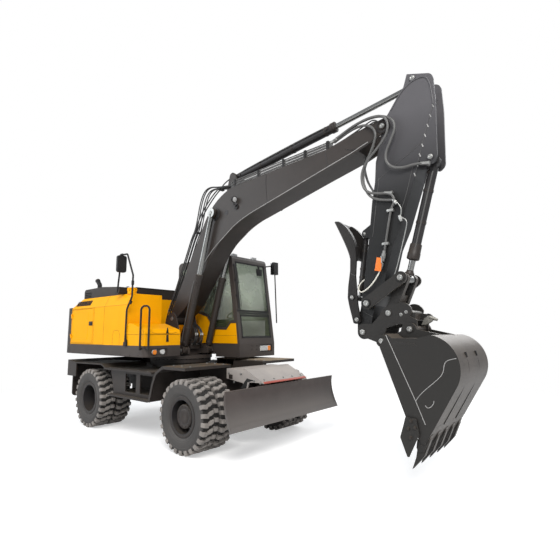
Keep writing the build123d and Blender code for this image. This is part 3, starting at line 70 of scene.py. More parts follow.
HOSE_WAY = (0.48, 0, 0.88)         # the way that the hoses rise from the boom's foot
DOOR_PANE_Y = (1.274, 1.282)       # metres: the door's panes lie between these planes


def mm(x, y, z):
    """A point in millimetres, as the frame's metres."""
    return Vector((x / 1000 + SHIFT, y / 1000, z / 1000))


def at_y(y, *points):
    """XZ points set out at one Y."""
    return [(x, y, z) for x, z in points]


# ---------------------------------------------------------------- nodes
def set_inputs(tree, node, inputs):
    """Each input joined to a socket, or to a node's first socket, or given a value."""
    for key, value in inputs.items():
        if isinstance(value, bpy.types.Node):
            value = value.outputs[0]
        if isinstance(value, bpy.types.NodeSocket):
            tree.links.new(value, node.inputs[key])
        else:
            node.inputs[key].default_value = value


def add_node(tree, kind, inputs=None, prefix="ShaderNode", **settings):
    """A node with its settings made before its inputs."""
    node = tree.nodes.new(prefix + kind)
    for key, value in settings.items():
        setattr(node, key, value)
    set_inputs(tree, node, inputs or {})
    return node


def add_math(tree, operation, *values):
    """An arithmetic node on one or two values."""
    return add_node(tree, "Math", dict(enumerate(values)), operation=operation)


def add_ramp(tree, value, *stops):
    """A colour ramp with a place and a colour for each of its two ends."""
    ramp = add_node(tree, "ValToRGB", {"Fac": value})
    for end, (position, colour) in zip(ramp.color_ramp.elements, stops):
        end.position = position
        end.color = (*colour, 1)
    return ramp


def add_tint(tree, amount, below, colour):
    """A colour laid over what is below it."""
    inputs = {"Factor": amount, "A": below, "B": (*colour, 1)}
    return add_node(tree, "Mix", inputs, data_type="RGBA").outputs["Result"]


# ---------------------------------------------------------------- camera and stage
def add_camera():
    """A camera at the machine's front right corner, low down."""
    yaw, pitch, roll = radians(39.637), radians(7.390), radians(-0.340)
    focal_length, frame_width = 403.685, 560
    ahead = Vector((-sin(yaw) * cos(pitch), cos(yaw) * cos(pitch), sin(pitch)))
    right = Vector((cos(yaw), sin(yaw), 0))
    up = right.cross(ahead)
    right, up = cos(roll) * right + sin(roll) * up, -sin(roll) * right + cos(roll) * up
    data = bpy.data.cameras.new("camera")
    data.sensor_width = 36
    data.lens = 36 * focal_length / frame_width
    data.clip_end = 200
    camera = bpy.data.objects.new("camera", data)
    turn = Matrix((right, up, -ahead)).transposed().to_4x4()
    camera.matrix_world = Matrix.Translation(Vector((6.576 + SHIFT, -4.914, 1.712))) @ turn
    bpy.context.scene.collection.objects.link(camera)
    bpy.context.scene.camera = camera


def add_floor():
    """A plain pale floor that keeps the machine's shadow and fades into the white backdrop far off."""
    mesh = bpy.data.meshes.new("floor")
    reach = 60
    corners = [(-reach, -reach, 0), (reach, -reach, 0), (reach, reach, 0), (-reach, reach, 0)]
    mesh.from_pydata(corners, [], [(0, 1, 2, 3)])
    floor = bpy.data.objects.new("floor", mesh)
    floor.location.z = -0.002
    bpy.context.scene.collection.objects.link(floor)
    material = bpy.data.materials.new("pale_floor")
    material.use_nodes = True
    tree = material.node_tree
    tree.nodes.clear()
    white = (1, 1, 1, 1)
    direct = add_node(tree, "LightPath").outputs["Is Camera Ray"]
    place = add_node(tree, "TexCoord").outputs["Object"]
    away = add_node(tree, "VectorMath", {0: place}, operation="LENGTH").outputs["Value"]
    fade = add_node(tree, "MapRange", {"Value": away, "From Min": 5.0, "From Max": 9.0})
    matt = add_node(tree, "BsdfDiffuse", {"Color": (0.80, 0.80, 0.80, 1)})
    glow = add_node(tree, "Emission",
                    {"Color": white, "Strength": add_math(tree, "MULTIPLY", direct, 0.45)})
    near = add_node(tree, "AddShader", {0: matt, 1: glow})
    far = add_node(tree, "Emission", {"Color": white})
    blend = add_node(tree, "MixShader", {0: add_math(tree, "MULTIPLY", direct, fade), 1: near, 2: far})
    add_node(tree, "OutputMaterial", {"Surface": blend})
    floor.data.materials.append(material)


def add_light():
    """Soft studio light: a bright sky, a high key light and two weaker ones."""
    scene = bpy.context.scene
    world = bpy.data.worlds.new("studio")
    scene.world = world
    world.use_nodes = True
    tree = world.node_tree
    tree.nodes.clear()
    soft = add_node(tree, "Background", {"Color": (0.93, 0.96, 1.0, 1), "Strength": 0.55})
    white = add_node(tree, "Background", {"Color": (1, 1, 1, 1), "Strength": 1.0})
    path = add_node(tree, "LightPath").outputs
    seen = add_math(tree, "MAXIMUM", path["Is Camera Ray"], path["Is Transmission Ray"])
    mix = add_node(tree, "MixShader", {0: seen, 1: soft, 2: white})
    add_node(tree, "OutputWorld", {"Surface": mix})
    for name, place, size, watts, colour in (
        ("key_light", (9, -9, 12), 7, 2100, (1.0, 0.985, 0.96)),
        ("fill_light", (-9, -10, 7), 8, 700, (0.92, 0.96, 1.0)),
        ("far_light", (2, 12, 9), 8, 700, (1.0, 1.0, 1.0)),
    ):
        data = bpy.data.lights.new(name, "AREA")
        data.size = size
        data.energy = watts
        data.color = colour
        lamp = bpy.data.objects.new(name, data)
        lamp.location = place
        lamp.rotation_euler = (Vector((0, 0, 1.5)) - Vector(place)).to_track_quat("-Z", "Y").to_euler()
        scene.collection.objects.link(lamp)
    scene.view_settings.view_transform = "Standard"


# ---------------------------------------------------------------- finishes
def surface(name, colour, shade, rough, metal=0.0, grain=30.0, bump=0.0, dust=0.0,
            dust_colour=(0.30, 0.24, 0.17), coat=0.0, specular=0.5, flank=None, lift=None):
    """A painted, cast or moulded finish: two close shades in soft patches, a fine grain, and dust that
    lies on upward faces. A flank colour covers faces turned along Y, and a lift is the two heights that
    a lighter colour fades in between, and that colour."""
    material = bpy.data.materials.new(name)
    material.use_nodes = True
    tree = material.node_tree
    place = add_node(tree, "TexCoord").outputs
    patches = add_node(tree, "TexNoise", {"Scale": 2.3, "Detail": 6, "Roughness": 0.6,
                                          "Vector": place["Object"]})
    result = add_ramp(tree, patches, (0.35, shade), (0.65, colour))
    if flank or lift:
        near, far, colour_there = (0.5, 0.8, flank) if flank else lift
        apart = add_node(tree, "SeparateXYZ", {"Vector": place["Normal" if flank else "Object"]}).outputs
        size = add_math(tree, "ABSOLUTE", apart["Y" if flank else "Z"])
        span = add_node(tree, "MapRange", {"Value": size, "From Min": near, "From Max": far})
        result = add_tint(tree, span, result, colour_there)
    specks = add_node(tree, "TexNoise", {"Scale": grain, "Detail": 8, "Vector": place["Object"]})
    if dust:
        normal = add_node(tree, "NewGeometry").outputs["Normal"]
        upward = add_node(tree, "SeparateXYZ", {"Vector": normal}).outputs["Z"]
        level = add_node(tree, "MapRange", {"Value": upward, "From Min": 0.2, "From Max": 1.0,
                                            "To Max": dust})
        result = add_tint(tree, add_math(tree, "MULTIPLY", level, specks), result, dust_colour)
    smooth, coarse = max(0.02, rough - 0.08), min(1.0, rough + 0.10)
    sheen = add_node(tree, "MapRange", {"Value": specks, "To Min": smooth, "To Max": coarse})
    shader = tree.nodes["Principled BSDF"]
    set_inputs(tree, shader, {
        "Base Color": result, "Roughness": sheen, "Metallic": metal, "Coat Weight": coat,
        "Coat Roughness": 0.15, "Specular IOR Level": specular})
    if bump:
        relief = add_node(tree, "Bump", {"Strength": bump, "Distance": 0.004, "Height": specks})
        set_inputs(tree, shader, {"Normal": relief})
    return material


def glass_material():
    """Tinted glass, hazy in soft patches, darker towards the sill and lightened towards the top by a painted
    pale green reflection.
    """
    material = bpy.data.materials.new("cab_glass_tint_and_painted_reflection")
    material.use_nodes = True
    tree = material.node_tree
    place = add_node(tree, "TexCoord").outputs["Object"]
    haze = add_node(tree, "TexNoise", {"Scale": 2.2, "Detail": 3, "Vector": place})
    height = add_node(tree, "SeparateXYZ", {"Vector": place}).outputs["Z"]
    # The colour runs from the dark tint at the sill up to a pale green painted reflection higher on the
    # panes.
    level = add_node(tree, "MapRange", {
        "Value": add_math(tree, "ADD", height, haze), "From Min": 2.35, "From Max": 3.05})
    set_inputs(tree, tree.nodes["Principled BSDF"], {
        "Base Color": add_ramp(tree, level, (0, (0.058, 0.070, 0.034)), (1, (0.370, 0.425, 0.330))),
        "Alpha": add_node(tree, "MapRange", {"Value": haze, "To Min": 0.38, "To Max": 0.62}),
        "Roughness": add_node(tree, "MapRange", {"Value": haze, "To Min": 0.02, "To Max": 0.10})})
    return material


FINISH = {
    "yellow_paint": surface("yellow_paint_gloss", (0.92, 0.40, 0.001), (0.87, 0.375, 0.001), 0.42,
                            specular=0.10,
                                    grain=60),
    "dark_paint": surface("dark_frame_paint", (0.037, 0.030, 0.027), (0.029, 0.024, 0.021), 0.42, grain=70,
                                  bump=0.04, dust=0.4, specular=0.3),
    "grey_paint": surface("grey_arm_paint", (0.030, 0.028, 0.0285), (0.022, 0.0205, 0.021), 0.38, grain=70,
                                  bump=0.04, dust=0.2, specular=0.3),
    "earth_paint": surface("blade_paint", (0.078, 0.062, 0.057), (0.060, 0.048, 0.044), 0.5, grain=45,
                                   bump=0.06, dust=0.3, specular=0.3,
                                   lift=(0.85, 0.45, (0.135, 0.125, 0.119))),
    "worn_steel": surface("worn_bucket_steel", (0.088, 0.075, 0.065), (0.064, 0.055, 0.048), 0.42, grain=50,
                                  bump=0.08, dust=0.3, flank=(0.022, 0.0205, 0.019), specular=0.3),
    "bright_rod": surface("bright_rod", (0.30, 0.30, 0.29), (0.24, 0.24, 0.23), 0.26, metal=1.0, grain=120),
    "tyre": surface("tyre_rubber", (0.030, 0.028, 0.027), (0.022, 0.021, 0.020), 0.78, grain=60, bump=0.15,
                            dust=0.5, dust_colour=(0.20, 0.18, 0.16)),
    "black_trim": surface("black_trim", (0.016, 0.015, 0.015), (0.011, 0.010, 0.010), 0.5, grain=90,
                          bump=0.05,
                                  specular=0.3),
    "pale_paint": surface("pale_cover_paint", (0.37, 0.33, 0.30), (0.31, 0.28, 0.26), 0.5, grain=45,
                          bump=0.05),
    "glass": glass_material(),
    "lamp_lens": surface("lamp_lens", (0.80, 0.80, 0.76), (0.72, 0.72, 0.70), 0.15, grain=80),
}

FITTING = surface("plated_fitting", (0.40, 0.40, 0.385), (0.28, 0.28, 0.27), 0.36, metal=0.7, grain=90,
                  bump=0.05)
CHROME = surface("lamp_reflector", (0.70, 0.70, 0.70), (0.58, 0.58, 0.58), 0.12, metal=1.0, grain=140)
MIRROR = surface("mirror_face", (0.60, 0.62, 0.63), (0.54, 0.56, 0.58), 0.06, metal=1.0, grain=40)
RUBBER = surface("hose_rubber", (0.030, 0.030, 0.030), (0.020, 0.020, 0.020), 0.5, grain=160, bump=0.12)
HOSE = surface("woven_hose", (0.110, 0.108, 0.105), (0.075, 0.074, 0.072), 0.42, grain=220, bump=0.2)
# The pipes' paint is set lighter than the boom's dark paint as a painted highlight along the pipes, besides
# their low roughness.
PIPE_PAINT_WITH_HIGHLIGHT = surface("painted_pipe", (0.105, 0.102, 0.098), (0.070, 0.068, 0.066), 0.30, grain=120, bump=0.04)
WHITE_HOSE = surface("white_hose", (0.72, 0.70, 0.62), (0.62, 0.60, 0.53), 0.4, grain=110, bump=0.06)
SEAM = surface("weld_bead", (0.42, 0.41, 0.40), (0.26, 0.255, 0.25), 0.4, grain=260, bump=0.5)
SEAM_DARK = surface("painted_weld_bead", (0.080, 0.078, 0.076), (0.050, 0.049, 0.048), 0.4, grain=260,
                    bump=0.5)
CASTING = surface("grey_casting", (0.27, 0.26, 0.23), (0.17, 0.165, 0.15), 0.45, metal=0.3, grain=55,
                  bump=0.3)
DARK_VOID = surface("shadow_gap", (0.012, 0.011, 0.010), (0.008, 0.008, 0.008), 0.8, grain=60, bump=0.05)
RED_STRIP = surface("red_strip", (0.42, 0.075, 0.045), (0.34, 0.060, 0.040), 0.45, grain=60, bump=0.04)
RED_LENS = surface("red_lens", (0.45, 0.015, 0.012), (0.34, 0.010, 0.010), 0.18, grain=140, bump=0.1,
                   coat=0.5)
AMBER_LENS = surface("amber_lens", (0.85, 0.25, 0.010), (0.72, 0.19, 0.008), 0.18, grain=140, bump=0.1,
                     coat=0.5)
CLEAR_LENS = surface("clear_lens", (0.62, 0.62, 0.60), (0.46, 0.46, 0.46), 0.15, grain=150, bump=0.1,
                     coat=0.5)
ORANGE_TAG = surface("orange_tag", (0.86, 0.20, 0.015), (0.74, 0.16, 0.012), 0.45, grain=80, bump=0.05)
FABRIC = surface("seat_fabric", (0.055, 0.055, 0.060), (0.035, 0.035, 0.040), 0.85, grain=420, bump=0.4)
CARCASS = surface("tyre_carcass", (0.062, 0.057, 0.054), (0.044, 0.041, 0.039), 0.72, grain=60, bump=0.12,
                  dust=0.4, dust_colour=(0.20, 0.18, 0.16))
TREAD = surface("tyre_tread", (0.27, 0.245, 0.225), (0.19, 0.173, 0.160), 0.75, grain=45, bump=0.2,
                dust=0.5, dust_colour=(0.34, 0.31, 0.28))
# The tread's floor between the lugs is much darker than the carcass's rubber: painted shade in the grooves.
TREAD_FLOOR_PAINTED_SHADE = surface("tyre_tread_floor_painted_shade", (0.022, 0.020, 0.019), (0.014, 0.013, 0.012), 0.85, grain=60,
                      bump=0.15)
FRAME_PAINT = surface("cab_frame_paint", (0.060, 0.049, 0.043), (0.048, 0.039, 0.035), 0.42, grain=70,
                      bump=0.04, specular=0.3)
THUMB_PAINT = surface("thumb_paint", (0.017, 0.0145, 0.013), (0.012, 0.0105, 0.010), 0.4, grain=60,
                      bump=0.06, specular=0.3)
# The arm's paint is darker than the grey paint and lightens between 3.3 and 4.5 m high: painted shade on the
# lower arm and a painted highlight where the sky lights its upper side plates.
ARM_PAINT_WITH_PAINTED_LIGHT = surface("arm_paint", (0.014, 0.014, 0.014), (0.010, 0.010, 0.010), 0.36, grain=70, bump=0.04,
                    specular=0.3, lift=(3.3, 4.5, (0.090, 0.087, 0.093)))
STEP_PLATE = surface("step_plate", (0.36, 0.29, 0.21), (0.27, 0.215, 0.155), 0.6, grain=80, bump=0.25)
DARK, BLACK = FINISH["dark_paint"], FINISH["black_trim"]


# ---------------------------------------------------------------- mesh helpers
def keep_piece(name, body, slot, mesh, *replaced):
    """An object for a finished mesh, riding on a body if one is given, and on none if it spans a joint."""
    piece = bpy.data.objects.new(name, mesh)
    bpy.context.scene.collection.objects.link(piece)
    if body:
        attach(piece, body)
    if replaced:
        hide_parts(*replaced)
    return piece


def plain_mesh(name, bm, finishes, sharp):
    """A mesh from a bmesh, with its faces turned outwards and its creases kept."""
    bmesh.ops.recalc_face_normals(bm, faces=bm.faces)
    mesh = bpy.data.meshes.new(name)
    bm.to_mesh(mesh)
    bm.free()
    for finish in finishes:
        mesh.materials.append(finish)
    mesh.shade_smooth()
    mesh.set_sharp_from_angle(angle=radians(sharp))
    return mesh


def finish_mesh(name, body, slot, bm, finishes=None, replaced=(), sharp=38):
    """A piece from a bmesh, in its slot's finish unless others are given."""
    mesh = plain_mesh(name, bm, finishes or [FINISH[slot]], sharp)
    return keep_piece(name, body, slot, mesh, *replaced)


PLACE = {
    "X": lambda low, u, v: mm(low, u, v),
    "Y": lambda low, u, v: mm(u, low, v),
    "Z": lambda low, u, v: mm(u, v, low)}


def round_rims(bm, edges, bevel):
    """Edges rounded by a radius in millimetres."""
    bmesh.ops.bevel(bm, geom=edges, offset=bevel / 1000, segments=2, profile=0.6, affect="EDGES",
                    clamp_overlap=True)


def add_prism(bm, near, far):
    """Two like rings of points closed into a prism."""
    near, far = [[bm.verts.new(point) for point in ring] for ring in (near, far)]
    faces = [bm.faces.new(near), bm.faces.new(far[::-1])]
    for i in range(len(near)):
        faces.append(bm.faces.new((near[i], near[i - 1], far[i - 1], far[i])))
    return faces


def add_plate(bm, outline, low, high, axis="Y", bevel=2.0, index=0):
    """An outline made solid between two planes across an axis, with its rims rounded."""
    place = PLACE[axis]
    faces = add_prism(bm, *[[place(plane, u, v) for u, v in outline] for plane in (low, high)])
    for face in faces:
        face.material_index = index
    round_rims(bm, list(faces[0].edges) + list(faces[1].edges), bevel)


def add_block(bm, low, high, bevel=3.0, index=0):
    """A block between two corners with every edge rounded."""
    made = bmesh.ops.create_cube(bm, size=1)["verts"]
    middle = (mm(*low) + mm(*high)) / 2
    for vert in made:
        vert.co = Vector([vert.co[i] * abs(high[i] - low[i]) / 1000 for i in range(3)]) + middle
    for face in {face for vert in made for face in vert.link_faces}:
        face.material_index = index
    round_rims(bm, list({edge for vert in made for edge in vert.link_edges}), bevel)


def add_turned(bm, centre, axis, profile, sides=28, index=0):
    """A profile of (offset, radius) pairs in millimetres turned about an axis through a point."""
    axis = Vector(axis).normalized()
    across = axis.orthogonal().normalized()
    other = axis.cross(across)
    origin = mm(*centre)
    rings = []
    for offset, radius in profile:
        middle = origin + axis * (offset / 1000)
        if radius == 0:
            rings.append([bm.verts.new(middle)] * sides)
        else:
            angles = [2 * pi * i / sides for i in range(sides)]
            spokes = [across * cos(angle) + other * sin(angle) for angle in angles]
            rings.append([bm.verts.new(middle + spoke * (radius / 1000)) for spoke in spokes])
    for ring, following in zip(rings, rings[1:]):
        for i in range(sides):
            corners = (ring[i - 1], ring[i], following[i], following[i - 1])
            face = bm.faces.new(list(dict.fromkeys(corners)))
            face.material_index = index


def evaluated_mesh(name, carrier):
    """The mesh that a linked object evaluates to. The object is then removed."""
    bpy.context.view_layer.update()
    mesh = bpy.data.meshes.new_from_object(carrier.evaluated_get(bpy.context.evaluated_depsgraph_get()))
    bpy.data.objects.remove(carrier)
    mesh.name = name
    return mesh


def run_curves(name, body, slot, finish, radius, routes, poly=False, sides=3):
    """Round tubes along routes, as one mesh: smooth hoses, or pipes and seams with straight runs."""
    curve = bpy.data.curves.new(name, "CURVE")
    curve.dimensions = "3D"
    curve.bevel_depth = radius / 1000
    curve.bevel_resolution = sides
    curve.resolution_u = 8
    curve.use_fill_caps = True
    for route in routes:
        line = curve.splines.new("POLY" if poly else "NURBS")
        line.points.add(len(route) - 1)
        for point, place in zip(line.points, route):
            point.co = (*mm(*place), 1)
        if not poly:
            line.order_u = 3
            line.use_endpoint_u = True
    carrier = bpy.data.objects.new(name + "_lines", curve)
    bpy.context.scene.collection.objects.link(carrier)
    mesh = evaluated_mesh(name, carrier)
    mesh.materials.clear()
    mesh.materials.append(finish)
    mesh.shade_smooth()
    mesh.set_sharp_from_angle(angle=radians(50))
    return keep_piece(name, body, slot, mesh)


def bend_hoses(name, finish, radius, routes, sides=3):
    """Hoses from one body to the other, curving between a start and an end and riding on neither body."""
    hoses = run_curves(name, None, "black_trim", finish, radius, routes, sides=sides)
    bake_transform(hoses)


def repeat_group():
    """Nodes that set a pattern at every point of a mesh, turned and sized by its attributes."""
    group = bpy.data.node_groups.new("repeat_at_places", "GeometryNodeTree")
    for name, way, kind in (("Geometry", "INPUT", "Geometry"), ("Pattern", "INPUT", "Object"),
                            ("Finish", "INPUT", "Material"), ("Geometry", "OUTPUT", "Geometry")):
        group.interface.new_socket(name, in_out=way, socket_type="NodeSocket" + kind)
    inlet = add_node(group, "Input", prefix="NodeGroup").outputs
    kit = "GeometryNode"
    pattern = add_node(group, "ObjectInfo", {"Object": inlet["Pattern"]}, kit).outputs["Geometry"]
    turn, size = [add_node(group, "InputNamedAttribute", {"Name": name}, kit,
                           data_type=kind).outputs["Attribute"]
                  for name, kind in (("turn", "FLOAT_VECTOR"), ("size", "FLOAT"))]
    spread = add_node(group, "InstanceOnPoints", {
        "Points": inlet["Geometry"], "Instance": pattern, "Rotation": turn, "Scale": size}, kit)
    solid = add_node(group, "RealizeInstances", {"Geometry": spread}, kit)
    paint = add_node(group, "SetMaterial", {"Geometry": solid, "Material": inlet["Finish"]}, kit)
    add_node(group, "Output", {"Geometry": paint}, "NodeGroup")
    return group


REPEAT = repeat_group()


def pattern_object(name, bm, sharp=38):
    """A hidden pattern for repeats, built round the origin in metres."""
    return bpy.data.objects.new(name, plain_mesh(name, bm, (), sharp))


def repeat_piece(name, body, slot, finish, pattern, places):
    """A pattern set at places, each a point, a direction for its axis or a turn, and a size."""
    points = bpy.data.meshes.new(name + "_points")
    points.from_pydata([mm(*place) for place, _, _ in places], [], [])
    points.attributes.new("turn", "FLOAT_VECTOR", "POINT")
    points.attributes.new("size", "FLOAT", "POINT")
    turns, sizes = points.attributes["turn"], points.attributes["size"]
    for i, (_, way, size) in enumerate(places):
        turns.data[i].vector = way if isinstance(way, Euler) else Vector(way).to_track_quat("Z",
                                                                                            "Y").to_euler()
        sizes.data[i].value = size
    carrier = bpy.data.objects.new(name + "_carrier", points)
    bpy.context.scene.collection.objects.link(carrier)
    modifier = carrier.modifiers.new("repeat", "NODES")
    modifier.node_group = REPEAT
    given = {"Pattern": pattern, "Finish": finish}
    for item in REPEAT.interface.items_tree:
        if item.in_out == "INPUT" and item.name in given:
            modifier[item.identifier] = given[item.name]
    keep_piece(name, body, slot, evaluated_mesh(name, carrier))


def add_bolts(name, body, slot, finish, places):
    """Bolt heads at places."""
    repeat_piece(name, body, slot, finish, BOLT, places)


def ring_places(count, centre, radius, z, way, size):
    """Places evenly round an upright axis."""
    angles = [2 * pi * i / count for i in range(count)]
    return [((centre[0] + radius * cos(a), centre[1] + radius * sin(a), z), way, size) for a in angles]


def bolt_pattern():
    """A hexagon bolt head with its washer, 10 mm across its radius."""
    bm = bmesh.new()
    for segments, radius1, radius2, depth, height in (
            (20, 0.0115, 0.0112, 0.002, 0.001), (6, 0.0092, 0.0085, 0.007, 0.0055)):
        made = bmesh.ops.create_cone(
            bm, cap_ends=True, segments=segments, radius1=radius1, radius2=radius2, depth=depth)
        bmesh.ops.translate(bm, verts=made["verts"], vec=(0, 0, height))
    return pattern_object("bolt_pattern", bm)


BOLT = bolt_pattern()


# ---------------------------------------------------------------- wheels
LUGS = 26
TWINS = (TWIN_MID - TWIN_PITCH / 2, TWIN_MID + TWIN_PITCH / 2)
WHEELS = (("front_right", FRONT_AXLE_X, -1), ("front_left", FRONT_AXLE_X, 1),
          ("rear_right", REAR_AXLE_X, -1), ("rear_left", REAR_AXLE_X, 1))


def tyre_pattern():
    """One pitch of a tyre's tread: in each row a long shoulder block and a diamond beside the middle line."""
    bm = bmesh.new()
    pitch = 2 * pi / LUGS
    for side in (-1, 1):
        for section, lean, half, shift in (
            (((56, 484), (50, 522), (58, 525), (118, 524), (133, 512), (139, 482), (138, 455), (128, 450)),
             0.16, 29, 0.0),
            (((-8, 484), (-10, 518), (-6, 522), (36, 522), (42, 515), (44, 484)), -0.55, 24, 10.0),
        ):
            rings = []
            for edge in (-1, 1):
                ring = []
                for y, radius in section:
                    wide = half * (1.0 if radius > 500 else 1.22)
                    arc = edge * wide + lean * (y - 50) + shift
                    angle = side * arc / AXLE_Z + (pitch / 2 if side > 0 else 0)
                    ring.append((sin(angle) * radius / 1000, side * y / 1000, cos(angle) * radius / 1000))
                rings.append(ring)
            rims = [edge for cap in add_prism(bm, *rings)[:2] for edge in cap.edges]
            bmesh.ops.bevel(bm, geom=rims, offset=0.0035, segments=1, affect="EDGES", clamp_overlap=True)
    return pattern_object("tread_pattern", bm, 30)


def add_wheels():
    """Tyres with rounded, ribbed sidewalls and staggered lugs, and rim details, on the four twin wheels."""
    tread = tyre_pattern()
    half_profile = ((92, 250), (99, 262), (104, 292), (112, 300), (127, 330), (136, 365), (139, 400),
                    (137, 436), (131, 462), (120, 482), (60, 487), (0, 488))
    profile = [(-y, radius) for y, radius in half_profile] + [(y, radius)
                                                              for y, radius in half_profile[-2::-1]]
    for word, axle_x, side in WHEELS:
        body = "wheel_" + word
        bm = bmesh.new()
        for y in TWINS:
            centre = (axle_x, side * y, AXLE_Z)
            add_turned(bm, centre, (0, 1, 0), profile, sides=96)
            # Index 1 is the tread's floor, in painted shade between the lugs.
            add_turned(bm, centre, (0, 1, 0), [(-122, 476), (-118, 490), (118, 490), (122, 476)], 96, 1)
            for outer in (-1, 1):
                for radius, offset in ((420, 138.6), (345, 131.5), (322, 123.5)):
                    rib = [(-2, radius - 5), (1.6, radius - 2), (1.6, radius + 2), (-2, radius + 5)]
                    add_turned(bm, (axle_x, side * y + outer * offset, AXLE_Z), (0, outer, 0), rib,
                               sides=96)
        finish_mesh("tyre_bodies_" + word, body, "tyre", bm, [CARCASS, TREAD_FLOOR_PAINTED_SHADE], ["tyres_" + word])
        turns = [Euler((0, i * 2 * pi / LUGS, 0)) for i in range(LUGS)]
        places = [((axle_x, side * y, AXLE_Z), turn, 1.0) for turn in turns for y in TWINS]
        repeat_piece("tyre_lugs_" + word, body, "tyre", TREAD, tread, places)
        add_rim_details(word, body, axle_x, side)


def add_rim_details(word, body, axle_x, side):
    """A hub cap, its bolts and a dark well, or the nuts of a deep dished rim."""
    bm = bmesh.new()
    outer = TWINS[1]
    centre, way = (axle_x, 0, AXLE_Z), (0, side, 0)
    front = word.startswith("front")
    ring = [(outer + 108, 247), (outer + 112, 256), (outer + 112, 284), (outer + 107, 291),
            (outer + 100, 291)]
    add_turned(bm, centre, way, ring, sides=72)
    if front:
        cap = [(1110, 171.5), (1184, 171.5), (1197, 165), (1200.5, 158), (1200.5, 118), (1197, 112),
               (1199, 104), (1203, 98), (1203, 40), (1201, 34), (1201, 0)]
        add_turned(bm, centre, way, cap, sides=64)
    else:
        cap = [(1040, 151), (1056, 151), (1066, 140), (1068, 96), (1076, 88), (1078, 40), (1074, 0)]
        add_turned(bm, centre, way, cap, sides=48)
        add_turned(bm, centre, way, [(1078, 26), (1086, 22), (1086, 0)], sides=24)
    finish_mesh("hub_" + word, body, "dark_paint", bm)
    count, radius, height, size = (12, 140, 1199.5, 0.9) if front else (10, 192, 1006, 2.0)
    angles = [2 * pi * (i + 0.5) / count for i in range(count)]
    places = [((axle_x + radius * cos(a), side * height, AXLE_Z + radius * sin(a)), way, size)
              for a in angles]
    add_bolts("wheel_nuts_" + word, body, "dark_paint", DARK, places)
    angle = radians(-35)
    stem = [(axle_x + radius * cos(angle), side * (outer + reach), AXLE_Z + radius * sin(angle))
            for radius, reach in ((236, 70), (222, 82), (218, 100))]
    run_curves("valve_" + word, body, "bright_rod", FITTING, 5, [stem])


